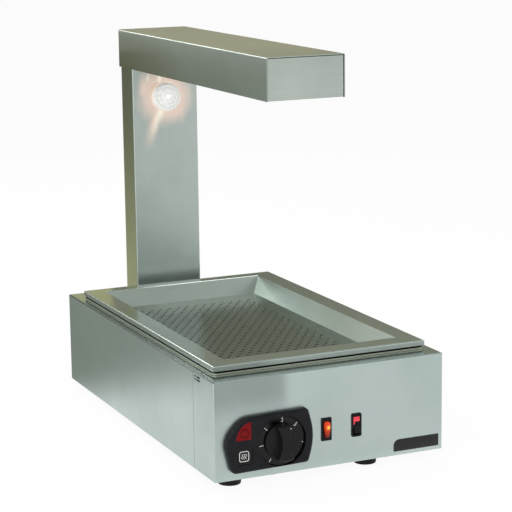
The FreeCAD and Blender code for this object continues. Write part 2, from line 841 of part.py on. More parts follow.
def heat_shield():
    z0 = shield_floor_z
    shield = open_box(shield_half, shield_front_y, shield_rear_y, z0, z0 + shield_upstand, thin_sheet)
    hole = bush_radius + fixing_gap
    return shield.cut([upright_disc(hole, x, y, 0, z0 + overrun) for x, y in element_ends()])


def insulation_slab():
    half = shield_half - seat_gap
    y0, y1 = shield_front_y + seat_gap, shield_rear_y - seat_gap
    slab_block = block(-half, half, y0, y1, shield_floor_z, shield_floor_z + insulation_thickness)
    hole = bush_flange_radius
    return slab_block.cut([upright_disc(hole, x, y, 0, insulation_top_z + overrun) for x,
                           y in element_ends()])


def element_ends():
    outer = 3 * element_half_pitch
    y = well_front_y + element_front_margin
    return [(-outer, y), (outer, y)]


def base_element():
    # One sheathed element: up through the floor, four long runs with three bends, and down again.
    pitch = element_half_pitch
    y_end = well_front_y + element_front_margin
    y_near = well_front_y + element_bend_margin
    y_far = well_rear_y - element_bend_margin
    x = -3 * pitch
    bend = element_leg_radius
    elbow = bend * math.cos(math.pi / 4)
    edges = [Part.LineSegment(vector(x, y_end, element_end_z), vector(x, y_end,
                                                                      element_z - bend)).toShape()]
    up_middle = vector(x, y_end + bend - elbow, element_z - bend + elbow)
    edges.append(Part.Arc(vector(x, y_end, element_z - bend), up_middle, vector(x, y_end + bend,
                                                                                element_z)).toShape())
    last = vector(x, y_end + bend, element_z)
    for turn, y in ((1, y_far), (-1, y_near), (1, y_far)):
        corner = vector(x, y, element_z)
        edges.append(Part.LineSegment(last, corner).toShape())
        tip = vector(x + pitch, y + turn * pitch, element_z)
        x = x + 2 * pitch
        last = vector(x, y, element_z)
        edges.append(Part.Arc(corner, tip, last).toShape())
    end = vector(x, y_end + bend, element_z)
    edges.append(Part.LineSegment(last, end).toShape())
    down_middle = vector(x, y_end + bend - elbow, element_z - bend + elbow)
    edges.append(Part.Arc(end, down_middle, vector(x, y_end, element_z - bend)).toShape())
    edges.append(Part.LineSegment(vector(x, y_end, element_z - bend), vector(x, y_end,
                                                                             element_end_z)).toShape())
    section = Part.Wire(Part.makeCircle(element_radius, vector(-x, y_end, element_end_z), vector(0, 0, 1)))
    return Part.Wire(edges).makePipeShell([section], True, False)


def element_bushes():
    bushes = []
    bore = element_radius + fixing_gap
    for x, y in element_ends():
        low, high = shield_floor_z - thin_sheet, well_floor_z
        thread = upright_disc(bush_radius, x, y, low, high)
        flange = upright_disc(bush_flange_radius, x, y, high, high + bush_flange_height)
        bushes.append(thread.fuse(flange).cut(upright_disc(bore, x, y, low - overrun, high + overrun)))
    return Part.makeCompound(bushes)


def element_saddles():
    # Two bridges under the element's runs, standing on the well's floor.
    saddles = []
    half = well_half - element_half_pitch / 2
    top = element_z - element_radius - seat_gap
    for y in (well_front_y + saddle_margin, well_rear_y - saddle_margin):
        y0, y1 = y - saddle_width / 2, y + saddle_width / 2
        bridge = block(-half, half, y0, y1, top - saddle_thickness, top)
        legs = []
        for side in (-1, 1):
            x0, x1 = sorted((side * half, side * (half - saddle_thickness)))
            legs.append(block(x0, x1, y0, y1, well_floor_z, top))
        saddles.append(joined([bridge] + legs))
    return Part.makeCompound(saddles)


# Control panel

def bezel_corners(inset):
    corners = []
    width, height = bezel_width - 2 * inset, bezel_height - 2 * inset
    for across, up, radius in bezel_outline_shares:
        x, z = bezel_x + inset + across * width, bezel_z + inset + up * height
        corners.append((x, z, radius * height))
    return corners


def bezel_post_places():
    z = bezel_z + bezel_post_rise
    return [(bezel_x + bezel_post_left, z), (bezel_x + bezel_width - bezel_post_right, z)]


def window_corners(gap):
    left, right = bezel_x + window_left + gap, bezel_x + window_left + window_width - gap
    low, high = bezel_z + window_base + gap, bezel_z + window_base + window_height - gap
    tight = inset_corner_radius
    across, up = window_corner_shares
    round_corner = (left + across * (right - left), low + up * (high - low), window_corner_radius - gap)
    return [(left, low, tight), (right, low, tight), (right, high, tight), round_corner]


def icon_corners(gap):
    middle_x = bezel_x + icon_left + icon_size / 2
    middle_z = bezel_z + icon_base + icon_size / 2
    size = icon_size - 2 * gap
    return front_rectangle(middle_x, middle_z, size, size, inset_corner_radius)


def control_bezel():
    face_y = front_y - bezel_depth
    body = front_plate(bezel_corners(0), front_y, face_y)
    rim = [edge for edge in body.Edges if edge.BoundBox.YMax < face_y + seat_gap]
    body = body.makeFillet(bezel_edge_radius, rim)
    pocket_y = face_y + inset_depth
    hollow = front_plate(bezel_corners(bezel_wall), front_y + overrun, pocket_y + bezel_wall)
    cup_radius = dial_radius + dial_gap
    hollow = hollow.cut(front_disc(cup_radius + bezel_wall, knob_x, knob_z, face_y, front_y + 2 * overrun))
    for x, z in bezel_post_places():
        hollow = hollow.cut(front_disc(bezel_post_radius, x, z, face_y, front_y + 2 * overrun))
    cuts = [hollow]
    cuts.append(front_disc(cup_radius, knob_x, knob_z, face_y - overrun, front_y - bezel_floor))
    cuts.append(front_disc(panel_nut_across + 2 * dial_gap, knob_x, knob_z, face_y, front_y + overrun))
    cuts.append(front_plate(window_corners(0), face_y - overrun, pocket_y))
    cuts.append(front_plate(icon_corners(0), face_y - overrun, pocket_y))
    for x, z in bezel_post_places():
        cuts.append(front_disc(screw_radius + fixing_gap, x, z, front_y - screw_length, front_y + overrun))
    top = bezel_z + bezel_height
    half = index_width / 2
    cuts.append(block(knob_x - half, knob_x + half, face_y - overrun, face_y + index_depth,
                      knob_z + dial_radius, top))
    return body.cut(cuts)


def red_window():
    pocket_y = front_y - bezel_depth + inset_depth
    return front_plate(window_corners(fixing_gap), pocket_y, pocket_y - inset_depth)


def icon_tile():
    pocket_y = front_y - bezel_depth + inset_depth
    return front_plate(icon_corners(fixing_gap), pocket_y, pocket_y - inset_depth / 2)


def bezel_screws():
    screws = []
    for x, z in bezel_post_places():
        head = front_disc(screw_head_radius, x, z, back_of_front_y, back_of_front_y + screw_head_height)
        shank = front_disc(screw_radius, x, z, back_of_front_y, front_y - screw_length + seat_gap)
        screws.append(head.fuse(shank))
    return Part.makeCompound(screws)


def dial_skirt():
    # The printed ring round the knob; it turns with the knob.
    y0 = front_y - bezel_floor - seat_gap
    ring = front_disc(dial_radius, knob_x, knob_z, y0, y0 - dial_thickness)
    return ring.cut(front_disc(bush_thread_radius + dial_gap, knob_x, knob_z, y0 + overrun, y0 - overrun))


def knob_back_y():
    return front_y - bezel_floor - seat_gap - dial_thickness


def control_knob():
    # A round knob, scooped on both sides so that a waisted grip bar stands across it.
    back, face = knob_back_y(), front_y - knob_reach
    shoulder = back - knob_skirt_height
    grip = front_disc(knob_radius, knob_x, knob_z, back, face)
    for side in (-1, 1):
        x = knob_x + side * (scoop_radius + knob_waist / 2)
        grip = grip.cut(front_disc(scoop_radius, x, knob_z, shoulder, face - overrun))
    rim = [edge for edge in grip.Edges if edge.BoundBox.YMax < face + seat_gap]
    grip = grip.makeChamfer(knob_edge, rim)
    hub = front_disc(bush_thread_radius + dial_gap, knob_x, knob_z, back + overrun, back - knob_hub_depth)
    bore = front_disc(spindle_radius, knob_x, knob_z, back, face + spindle_cap)
    return grip.cut([hub, bore])


def knob_spindle():
    return front_disc(spindle_radius, knob_x, knob_z, back_of_front_y + spindle_tail,
                      front_y - knob_reach + spindle_cap)


def heat_regulator():
    # Switch box behind the panel with a threaded bush through it; the spindle turns in its bore.
    y0 = back_of_front_y
    shape = front_rectangle(knob_x, knob_z, regulator_width, regulator_width, regulator_corner_radius)
    box = front_plate(shape, y0, y0 + regulator_depth)
    bush = front_disc(bush_thread_radius, knob_x, knob_z, y0 + overrun, front_y - bush_reach)
    bore = front_disc(spindle_radius + running_gap, knob_x, knob_z, y0 + spindle_tail + seat_gap,
                      front_y - bush_reach - overrun)
    return box.fuse(bush).cut(bore)


def panel_nut():
    nut = hexagon(panel_nut_across, knob_x, knob_z, front_y, front_y - panel_nut_thickness)
    return nut.cut(front_disc(bush_thread_radius + fixing_gap, knob_x, knob_z, front_y + overrun,
                              front_y - overrun))


def switch_bodies():
    # Centre, width and height of the two bodies that pass through the panel.
    pilot = (pilot_x, pilot_width - switch_border, pilot_height - 2 * switch_border)
    rocker = (rocker_x, rocker_width - switch_border, rocker_height - 2 * switch_border)
    return [pilot, rocker]


def switch_frame(x, width, height, radius, body, depth, opening):
    # A flanged plastic frame with a closed body behind the panel, open in front.
    flange = front_plate(front_rectangle(x, switch_z, width, height, radius), front_y,
                         front_y - switch_flange)
    box = front_plate(front_rectangle(x, switch_z, body[1], body[2], 0), front_y, front_y + depth)
    hollow = front_plate(front_rectangle(x, switch_z, opening[0], opening[1], 0),
                         front_y - switch_flange - overrun, front_y + depth - switch_wall)
    return flange.fuse(box).cut(hollow)


def pilot_frame():
    body = switch_bodies()[0]
    opening = (lens_width + 2 * fixing_gap, lens_height + 2 * fixing_gap)
    return switch_frame(pilot_x, pilot_width, pilot_height, pilot_corner_radius, body, pilot_body_depth,
                        opening)


def pilot_lens():
    # A lens that bulges out of its frame at the top and thins towards its foot, hollow behind.
    back, face = front_y + switch_wall, front_y - switch_flange
    high = switch_z + lens_height / 2
    low = switch_z - lens_height / 2
    half = lens_width / 2
    corners = [(-back, low, 0), (-face, low, 0), (lens_reach - face, high, half), (-back, high, 0)]
    side = rounded_face(corners, lambda out, up: vector(pilot_x - half, -out, up))
    solid = side.extrude(vector(lens_width, 0, 0))
    bore = upright_disc(neon_radius + fixing_gap, pilot_x, back, low, high - lens_wall)
    return solid.cut(bore)


def pilot_neon():
    y = front_y + switch_wall
    top = switch_z + lens_height / 2 - neon_drop
    return upright_disc(neon_radius, pilot_x, y, top - neon_length, top)


def rocker_opening():
    width = rocker_width - switch_border - 2 * switch_wall
    height = rocker_height - 2 * switch_border - 2 * switch_end_wall
    return width, height


def rocker_frame():
    body = switch_bodies()[1]
    frame = switch_frame(rocker_x, rocker_width, rocker_height, rocker_corner_radius, body,
                         rocker_body_depth, rocker_opening())
    half = rocker_opening()[0] / 2 + switch_wall - pin_end_wall / 2
    y = front_y + pivot_depth
    return frame.cut(rod(pin_radius + running_gap, vector(rocker_x - half, y, switch_z),
                         vector(rocker_x + half, y, switch_z)))


def tilted(shape):
    # At rest the upper half of the rocker is pressed in.
    pivot = vector(0, front_y + pivot_depth, switch_z)
    return shape.rotate(pivot, vector(1, 0, 0), -math.degrees(paddle_throw))


def paddle_profile(z_low, z_high, back, front):
    # Side outline of the rocker about its pivot, between two heights; the front is a shallow V.
    y, tilt = front_y + pivot_depth, math.tan(paddle_throw)
    heights = sorted({z_low, z_high} | ({0} if z_low < 0 < z_high else set()))
    outline = [vector(0, y + back(z, tilt), switch_z + z) for z in heights]
    outline += [vector(0, y + front(z, tilt), switch_z + z) for z in reversed(heights)]
    return Part.Face(Part.makePolygon(outline + outline[:1]))


def paddle_front(z, tilt):
    return -paddle_waist - abs(z) * tilt


def ahead_of_paddle(z, tilt):
    return paddle_front(z, tilt) - overrun


def behind_pivot(z, tilt):
    return paddle_depth


def lens_back(z, tilt):
    return paddle_front(z, tilt) + rocker_lens_depth


def rocker_span():
    half = rocker_opening()[0] / 2 - paddle_gap
    return rocker_x - half, rocker_x + half


def rocker_paddle():
    low, high = rocker_span()
    body = paddle_profile(-paddle_half_height, paddle_half_height, lambda z, tilt: paddle_depth,
                          paddle_front)
    body.translate(vector(low, 0, 0))
    body = body.extrude(vector(high - low, 0, 0))
    inset = paddle_profile(0, paddle_half_height + overrun, lens_back, ahead_of_paddle)
    inset.translate(vector(low - overrun, 0, 0))
    body = body.cut(inset.extrude(vector(high - low + 2 * overrun, 0, 0)))
    pivot = vector(rocker_x, front_y + pivot_depth, switch_z)
    half = rocker_opening()[0] / 2 + switch_wall - pin_end_wall
    pins = rod(pin_radius, pivot - vector(half, 0, 0), pivot + vector(half, 0, 0))
    return tilted(body.fuse(pins))


def rocker_lens():
    low, high = rocker_span()
    lens = paddle_profile(0, paddle_half_height, lens_back, paddle_front)
    lens.translate(vector(low, 0, 0))
    return tilted(lens.extrude(vector(high - low, 0, 0)))


def spade_tabs():
    tabs = []
    backs = [(pilot_x, switch_z, front_y + pilot_body_depth), (rocker_x, switch_z,
                                                               front_y + rocker_body_depth),
             (knob_x, knob_z, back_of_front_y + regulator_depth)]
    for x, z, y in backs:
        for side in (-1, 1):
            middle = z + side * tab_spacing / 2
            low, high = middle - tab_thickness / 2, middle + tab_thickness / 2
            tabs.append(block(x - tab_width / 2, x + tab_width / 2, y, y + tab_length, low, high))
    return Part.makeCompound(tabs)


def badge_plate():
    right = half_width - plate_inset
    left = right - plate_width
    low = underside_z + plate_rise
    high = low + plate_height
    edge = plate_edge_radius
    corners = [(left, low, edge), (right, low, edge), (right, high, edge), (left, high,
                                                                            plate_corner_radius)]
    return front_plate(corners, front_y, front_y - plate_thickness)


# Supply

def block_place():
    return gland_x - block_gap - block_width / 2, rear_y - block_setback


def terminal_block():
    x, y = block_place()
    z0 = underside_z + 2 * sheet
    base = block(x - block_width / 2, x + block_width / 2, y - block_depth / 2, y + block_depth / 2, z0,
                 z0 + block_height)
    cuts = [upright_disc(screw_head_radius, sx, sy, z0 + block_height / 2, z0 + block_height + overrun)
            for sx, sy in block_screw_places()]
    return base.cut(cuts)


def block_screw_places():
    x, y = block_place()
    pitch = block_width / (block_screw_count + 1)
    middle = (block_screw_count - 1) / 2
    return [(x + (index - middle) * pitch,
             y + side * block_depth / 4) for index in range(block_screw_count) for side in (-1, 1)]


def block_screws():
    z0 = underside_z + 2 * sheet + block_height / 2
    radius = screw_head_radius - fixing_gap
    return Part.makeCompound([upright_disc(radius, x, y, z0, z0 + block_height / 3) for x,
                              y in block_screw_places()])


def gland_z():
    return underside_z + gland_rise


def cable_gland():
    x, z = gland_x, gland_z()
    thread = front_disc(gland_thread_radius, x, z, rear_y - sheet - gland_inner, rear_y)
    flange = front_disc(gland_flange_radius, x, z, rear_y, rear_y + gland_flange)
    nose_base = vector(x, rear_y + gland_flange, z)
    nose = Part.makeCone(gland_flange_radius, gland_nose_radius, gland_nose, nose_base, vector(0, 1, 0))
    bore = front_disc(gland_bore, x, z, rear_y - sheet - gland_inner - overrun,
                      rear_y + gland_flange + gland_nose + overrun)
    return joined([thread, flange, nose]).cut(bore)


def gland_nut():
    y1 = rear_y - sheet
    nut = hexagon(gland_nut_radius, gland_x, gland_z(), y1 - gland_nut_thickness, y1)
    return nut.cut(front_disc(gland_thread_radius + fixing_gap, gland_x, gland_z(),
                              y1 - gland_nut_thickness - overrun, rear_y))


# Column

def column_shell():
    # A channel with its back open between two folds, closed at the foot and at the top.
    rear = column_rear_y - sheet
    outer = slab(-column_half, column_half, column_front_y, rear + bend_radius, column_z, column_top_z,
                 bend_radius)
    outer = outer.cut(block(-column_half, column_half, rear, rear + overrun, column_z - overrun,
                            column_top_z + overrun))
    hollow = block(-column_half + sheet, column_half - sheet, column_front_y + sheet, rear - sheet,
                   column_z + sheet, column_top_z - sheet)
    back = block(-column_half + fold_width, column_half - fold_width, rear - 2 * sheet, rear + overrun,
                 column_z + fold_width, column_top_z - fold_width)
    lead_way = arm_z + fold_width
    way = block(lead_x() - 2 * lead_radius, lead_x() + 2 * lead_radius, column_front_y - overrun,
                column_front_y + 2 * overrun,
                lead_way, lead_way + fold_width)
    lamp_hole = front_disc(lamp_collar_radius + fixing_gap, 0, lamp_z, column_front_y - overrun,
                           column_front_y + overrun)
    cuts = [hollow, back, way, lamp_hole] + bolt_holes() + column_screw_holes() + arm_screw_holes()
    return outer.cut(cuts)


def column_screw_places():
    half = column_half - screw_edge
    low, high = column_z + screw_edge, arm_z - fold_width
    return [(side * half, z) for side in (-1, 1) for z in (low, (low + high) / 2, high)]


def screw_holes(places, y0, y1):
    return [front_disc(screw_radius + fixing_gap, x, z, y0, y1) for x, z in places]


def column_screw_holes():
    return screw_holes(column_screw_places(), column_rear_y - 2 * fold_width / 2, column_rear_y + overrun)


def arm_screw_places():
    half = column_half - screw_edge
    return [(side * half, z) for side in (-1, 1) for z in (arm_z + fold_width, arm_top_z - fold_width)]


def arm_screw_holes():
    return screw_holes(arm_screw_places(), column_rear_y - fold_width, arm_rear_y + overrun)


def column_cover():
    plate = block(-column_half, column_half, column_rear_y - sheet, column_rear_y, column_z, column_top_z)
    return plate.cut(column_screw_holes() + arm_screw_holes())


def column_bolts():
    bolts = []
    y0, y1 = column_front_y + sheet, rear_y - sheet
    for x, z in bolt_places():
        head = hexagon(bolt_head_radius, x, z, y0, y0 + bolt_head_height)
        shank = front_disc(bolt_radius, x, z, y1 - nut_thickness, y0 + bolt_head_height / 2)
        bolts.append(head.fuse(shank))
    return Part.makeCompound(bolts)


def column_nuts():
    nuts = []
    y1 = rear_y - sheet
    for x, z in bolt_places():
        nut = hexagon(nut_radius, x, z, y1 - nut_thickness, y1)
        nuts.append(nut.cut(front_disc(bolt_radius + fixing_gap, x, z, y1 - nut_thickness - overrun,
                                       y1 + overrun)))
    return Part.makeCompound(nuts)


def wire_grommet():
    # A rubber ring that lines the hole from the cabinet into the column.
    z = column_z + grommet_rise
    y0, y1 = rear_y - sheet, column_front_y + sheet
    body = front_disc(grommet_radius, 0, z, y0, y1)
    lips = [front_disc(grommet_radius + grommet_lip, 0, z, y0 - grommet_lip, y0),
            front_disc(grommet_radius + grommet_lip, 0, z, y1, y1 + grommet_lip)]
    return joined([body] + lips).cut(front_disc(grommet_bore, 0, z, y0 - overrun, y1 + overrun))


def turned(profile, x, z):
    # Turns an outline of (radius, y) points about a line along Y.
    points = [vector(x + radius, y, z) for radius, y in profile]
    face = Part.Face(Part.makePolygon(points + points[:1]))
    return face.revolve(vector(x, 0, z), vector(0, 1, 0), 360)


def lamp_housing():
    # A steel cup through the column's front, with a flange behind the sheet.
    outer, inner = lamp_collar_radius, lamp_collar_radius - lamp_collar_wall
    y_front = column_front_y - lamp_collar_reach
    y_back = column_front_y + sheet + lamp_cup_depth
    cup = front_disc(outer, 0, lamp_z, y_front, y_back)
    y0 = column_front_y + sheet
    flange = front_disc(lamp_flange_radius, 0, lamp_z, y0, y0 + lamp_collar_wall)
    hollow = front_disc(inner, 0, lamp_z, y_front - overrun, y_back - lamp_collar_wall)
    return cup.fuse(flange).cut(hollow)


def lamp_socket():
    y1 = column_front_y + sheet + lamp_cup_depth - lamp_collar_wall
    socket = front_disc(bulb_socket_radius, 0, lamp_z, y1 - bulb_socket_height, y1)
    return socket.cut(front_disc(bulb_radius / 2 + fixing_gap, 0, lamp_z, y1 - bulb_socket_height - overrun,
                                 y1 - bulb_socket_height / 3))


def lamp_bulb():
    # A capsule on a thin base.
    y1 = column_front_y + sheet + lamp_cup_depth - lamp_collar_wall - bulb_socket_height
    y0 = y1 - bulb_length + bulb_radius
    body = front_disc(bulb_radius, 0, lamp_z, y0, y1 - bulb_radius)
    tip = Part.makeSphere(bulb_radius, vector(0, y0, lamp_z))
    base = front_disc(bulb_radius / 2, 0, lamp_z, y1 - bulb_radius - seat_gap, y1 + bulb_socket_height / 2)
    return joined([body, tip, base])


def lamp_glass():
    # A pressed glass that screws over the cup's collar: a skirt, a stepped shoulder and a low crown.
    bore = lamp_collar_radius + fixing_gap
    y_skirt = column_front_y - seat_gap
    y_step = y_skirt - glass_skirt
    y_tip = column_front_y - glass_reach
    y_in = y_step + seat_gap
    crown_radius = glass_radius * crown_share
    inner_crown = y_tip + glass_thickness
    profile = [(bore, y_skirt), (glass_radius, y_skirt), (glass_radius, y_step), (crown_radius, y_tip)]
    profile += [(0, y_tip), (0, inner_crown), (crown_radius - glass_thickness, inner_crown)]
    profile += [(bore - glass_thickness, y_in), (bore, y_in)]
    return turned(profile, 0, lamp_z)


crown_share = 0.55           # of the glass's radius, the flat middle of its crown


# Arm

def arm_shell():
    outer = arch(arm_half, arm_front_y, arm_rear_y, arm_z, arm_top_z, bend_radius)
    inner = arch(arm_half - sheet, arm_front_y - overrun, arm_rear_y - sheet, arm_z - overrun,
                 arm_top_z - sheet,
                 bend_radius - sheet)
    return outer.cut([inner] + arm_screw_holes())


def arm_end_cap():
    # A folded cap set into the arm's open front.
    half = arm_half - sheet - cap_gap
    y0 = arm_front_y + cap_inset
    z0, z1 = arm_z + cap_gap, arm_top_z - sheet - cap_gap
    outer = block(-half, half, y0, y0 + cap_return, z0, z1)
    rim = [edge for edge in outer.Edges if edge.CenterOfMass.y < y0 + fixing_gap]
    outer = outer.makeFillet(cap_edge_radius, rim)
    return outer.cut(block(-half + sheet, half - sheet, y0 + sheet, y0 + cap_return + overrun, z0 + sheet,
                           z1 - sheet))


def reflector_points(offset):
    half = arm_half - sheet - seat_gap - offset
    crown = reflector_crown / 2 - offset
    top = reflector_z - offset
    skirt = guard_z + guard_rod_radius + seat_gap
    shoulder = skirt + reflector_skirt
    return [(-half, skirt), (-half, shoulder), (-crown, top), (crown, top), (half, shoulder), (half, skirt)]


def heat_reflector():
    # A bent trough that hangs between the arm's sides, with a slotted crown for the tube holders.
    outer = reflector_points(0)
    inner = reflector_points(reflector_sheet)
    outline = outer + inner[::-1]
    points = [vector(x, reflector_front_y, z) for x, z in outline]
    face = Part.Face(Part.makePolygon(points + points[:1]))
    trough = face.extrude(vector(0, reflector_rear_y - reflector_front_y, 0))
    return trough


def reflector_stays():
    # Two straps across the arm that carry the reflector from the arm's roof.
    stays = []
    for y in holder_places():
        y0, y1 = y - holder_thickness / 2, y + holder_thickness / 2
        stays.append(block(-holder_width / 2, holder_width / 2, y0, y1, reflector_z, arm_top_z - sheet))
    return Part.makeCompound(stays)


def holder_places():
    return [reflector_front_y + tube_end_margin, reflector_rear_y - tube_end_margin]


def tube_holder(y):
    # A ceramic block under the crown that grips one end of the heat tube.
    top = reflector_z - reflector_sheet
    low = tube_z - tube_radius - holder_foot / 2
    body = block(-holder_width / 2, holder_width / 2, y - holder_thickness / 2, y + holder_thickness / 2,
                 low, top)
    start, end = vector(0, y - holder_thickness, tube_z), vector(0, y + holder_thickness, tube_z)
    return body.cut(rod(tube_radius + fixing_gap, start, end))


def heat_tube():
    y0, y1 = holder_places()
    end = holder_thickness / 2 + holder_foot
    glass = rod(tube_radius, vector(0, y0 - end, tube_z), vector(0, y1 + end, tube_z))
    pin = tube_radius / 2
    pins = [rod(pin, vector(0, y0 - end - holder_foot / 2, tube_z), vector(0, y0, tube_z)),
            rod(pin, vector(0, y1, tube_z), vector(0, y1 + end + holder_foot / 2, tube_z))]
    return joined([glass] + pins)


def wire_guard():
    # Cross rods between the arm's sides, welded to two long rails.
    radius = guard_rod_radius
    half = arm_half - sheet - seat_gap
    y0, y1 = reflector_front_y, reflector_rear_y
    count = int((y1 - y0 - 2 * guard_rail_end) / guard_pitch)
    margin = (y1 - y0 - count * guard_pitch) / 2
    rods = []
    for index in range(count + 1):
        y = y0 + margin + index * guard_pitch
        rods.append(rod(radius, vector(-half, y, guard_z), vector(half, y, guard_z)))
    for side in (-1, 1):
        x = side * guard_rail_spacing / 2
        rods.append(rod(radius, vector(x, y0, guard_z), vector(x, y1, guard_z)))
    return joined(rods)


# Wiring, held all the way inside the casing

def lead_x():
    return column_half - fold_width - 2 * lead_radius


def block_lead_z():
    return underside_z + 2 * sheet + block_height / 2


def column_leads():
    # Two leads from the terminal block through the grommet: one up into the arm, one to the lamp.
    x, y = block_place()
    z_block = block_lead_z()
    z_grommet = column_z + grommet_rise
    z_arm = arm_z + 3 * fold_width / 2
    inside = (column_front_y + column_rear_y) / 2
    apart = lead_spacing / 2
    z_turn = z_grommet + lead_climb
    start = x - block_width / 2
    y_arm, y_lamp = y + apart, y - apart
    to_arm = [vector(start, y_arm, z_block), vector(apart, y_arm, z_block), vector(apart, y_arm, z_grommet),
              vector(apart, inside, z_grommet), vector(lead_x(), inside, z_turn),
              vector(lead_x(), inside, z_arm), vector(lead_x(), reflector_rear_y + holder_foot, z_arm)]
    lamp_back = column_front_y + sheet + lamp_cup_depth
    behind = (lamp_back + column_rear_y - sheet) / 2
    z_lamp = lamp_z - lamp_cup_depth
    to_lamp = [vector(start, y_lamp, z_block), vector(-apart, y_lamp, z_block),
               vector(-apart, y_lamp, z_grommet), vector(-apart, inside, z_grommet),
               vector(-apart, inside, z_turn), vector(0, behind, z_lamp),
               vector(0, behind, lamp_z), vector(0, lamp_back, lamp_z)]
    return Part.makeCompound([routed(to_arm, lead_radius), routed(to_lamp, thin_lead_radius)])


def cabinet_leads():
    # From the terminal block to the regulator and to the switch, and from both to the element.
    x, y = block_place()
    z_block = block_lead_z()
    y_cross = front_y + lead_cross_setback
    leads = []
    backs = [(knob_x, knob_z, back_of_front_y + regulator_depth), (rocker_x, switch_z,
                                                                   front_y + rocker_body_depth)]
    for side, (x_back, z_back, y_back) in zip((-1, 1), backs):
        x_start = x + side * lead_spacing
        y_mid = y_cross + side * lead_spacing
        y_drop = y_back + tab_length + tab_spacing
        points = [vector(x_start, y - block_depth / 2, z_block), vector(x_start, y_mid, z_block),
                  vector(x_back, y_mid, z_block), vector(x_back, y_drop, z_block),
                  vector(x_back, y_drop, z_back), vector(x_back, y_back, z_back)]
        leads.append(routed(points, lead_radius))
        x_end, y_end = element_ends()[(side + 1) // 2]
        z_turn = z_back - tab_spacing
        points = [vector(x_end, y_end, element_end_z), vector(x_end, y_end, z_turn),
                  vector(x_back, y_back + tab_length, z_turn), vector(x_back, y_back, z_turn)]
        leads.append(routed(points, thin_lead_radius))
    return Part.makeCompound(leads)


def make_parts():
    front_holder_y, rear_holder_y = holder_places()
    makers = [
        cabinet_shell, front_cover, rear_panel, base_plate, foot_screws, case_screws, chip_tray, tray_floor,
        crumb_pan, well_liner, heat_shield, insulation_slab, base_element, element_bushes, element_saddles,
        control_bezel, red_window, icon_tile, bezel_screws, dial_skirt, control_knob, knob_spindle,
        heat_regulator, panel_nut, pilot_frame, pilot_lens, pilot_neon, rocker_frame, rocker_paddle,
        rocker_lens, spade_tabs, badge_plate, terminal_block, block_screws, cable_gland, gland_nut,
        column_shell, column_cover, column_bolts, column_nuts, wire_grommet, lamp_housing, lamp_socket,
        lamp_bulb, lamp_glass, arm_shell, arm_end_cap, heat_reflector, reflector_stays, heat_tube,
        wire_guard, column_leads, cabinet_leads,
    ]
    parts = {maker.__name__: maker() for maker in makers}
    parts["front_tube_holder"] = tube_holder(front_holder_y)
    parts["rear_tube_holder"] = tube_holder(rear_holder_y)
    for name, (x, y) in foot_places().items():
        parts["foot_" + name] = foot(x, y)
    return parts


os.makedirs("parts", exist_ok=True)
for name, shape in make_parts().items():
    shape.exportStep("parts/" + name + ".step")
    print(name, len(shape.Solids), shape.isValid(), round(shape.Volume / 1000, 2))
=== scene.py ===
import bpy
import bmesh
import math
from mathutils import Matrix, Vector


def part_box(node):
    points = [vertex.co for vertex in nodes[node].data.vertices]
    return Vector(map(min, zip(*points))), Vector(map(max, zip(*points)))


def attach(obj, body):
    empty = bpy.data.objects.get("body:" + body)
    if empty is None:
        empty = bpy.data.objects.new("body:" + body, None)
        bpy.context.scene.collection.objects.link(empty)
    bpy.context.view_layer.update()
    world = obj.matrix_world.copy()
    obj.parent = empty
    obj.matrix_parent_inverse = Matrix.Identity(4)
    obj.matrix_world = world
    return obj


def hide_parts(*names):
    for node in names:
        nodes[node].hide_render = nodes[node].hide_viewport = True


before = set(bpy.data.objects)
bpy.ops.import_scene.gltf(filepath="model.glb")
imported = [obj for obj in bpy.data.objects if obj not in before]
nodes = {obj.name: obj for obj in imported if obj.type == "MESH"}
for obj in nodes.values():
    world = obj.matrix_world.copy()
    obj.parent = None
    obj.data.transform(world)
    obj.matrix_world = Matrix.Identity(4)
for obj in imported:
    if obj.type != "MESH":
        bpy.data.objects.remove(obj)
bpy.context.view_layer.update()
scene = bpy.context.scene
scene.view_settings.view_transform = "Standard"
mm = 0.001
print("frame loaded:", len(nodes), "nodes")

# Camera at the photograph's viewing angle: left of the front and a little above
cameraView = {
    "place": (-1.0786, -2.4773, 0.799),
    "azimuth": -24.118,               # degrees, from straight in front
    "elevation": 11.486,
    "roll": -0.748,
    "lens": 128.34,                   # millimetres, as the sensor
    "sensor": 36,
}


def addCamera(view):
    azimuth, elevation, roll = (math.radians(view[angle]) for angle in ("azimuth", "elevation", "roll"))
    level = math.cos(elevation)
    back = Vector((math.sin(azimuth) * level, -math.cos(azimuth) * level, math.sin(elevation)))
    levelRight = (-back).cross(Vector((0, 0, 1))).normalized()
    levelUp = levelRight.cross(-back)
    right = math.cos(roll) * levelRight + math.sin(roll) * levelUp
    up = -math.sin(roll) * levelRight + math.cos(roll) * levelUp
    data = bpy.data.cameras.new("camera")
    data.sensor_width = view["sensor"]
    data.lens = view["lens"]
    camera = bpy.data.objects.new("camera", data)
    scene.collection.objects.link(camera)
    turn = Matrix((right, up, back)).transposed().to_4x4()
    camera.matrix_world = Matrix.Translation(view["place"]) @ turn
    scene.camera = camera


addCamera(cameraView)


# Small helpers for colours and nodes

def toLinear(hexColour, share=1.0):
    channels = []
    for start in (1, 3, 5):
        value = int(hexColour[start:start + 2], 16) / 255
        linear = value / 12.92 if value <= 0.04045 else ((value + 0.055) / 1.055) ** 2.4
        channels.append(share * linear)
    return (*channels, 1)


# Values go to a node's inputs by their order in a list or by name. A node stands for its first live output,
# and a hex value for its colour.
def setInputs(tree, node, values):
    for name, value in (values.items() if isinstance(values, dict) else enumerate(values)):
        if isinstance(value, bpy.types.Node):
            value = next(socket for socket in value.outputs if socket.enabled)
        elif isinstance(value, str):
            value = toLinear(value)
        if isinstance(value, bpy.types.NodeSocket):
            tree.links.new(value, node.inputs[name])
        else:
            node.inputs[name].default_value = value


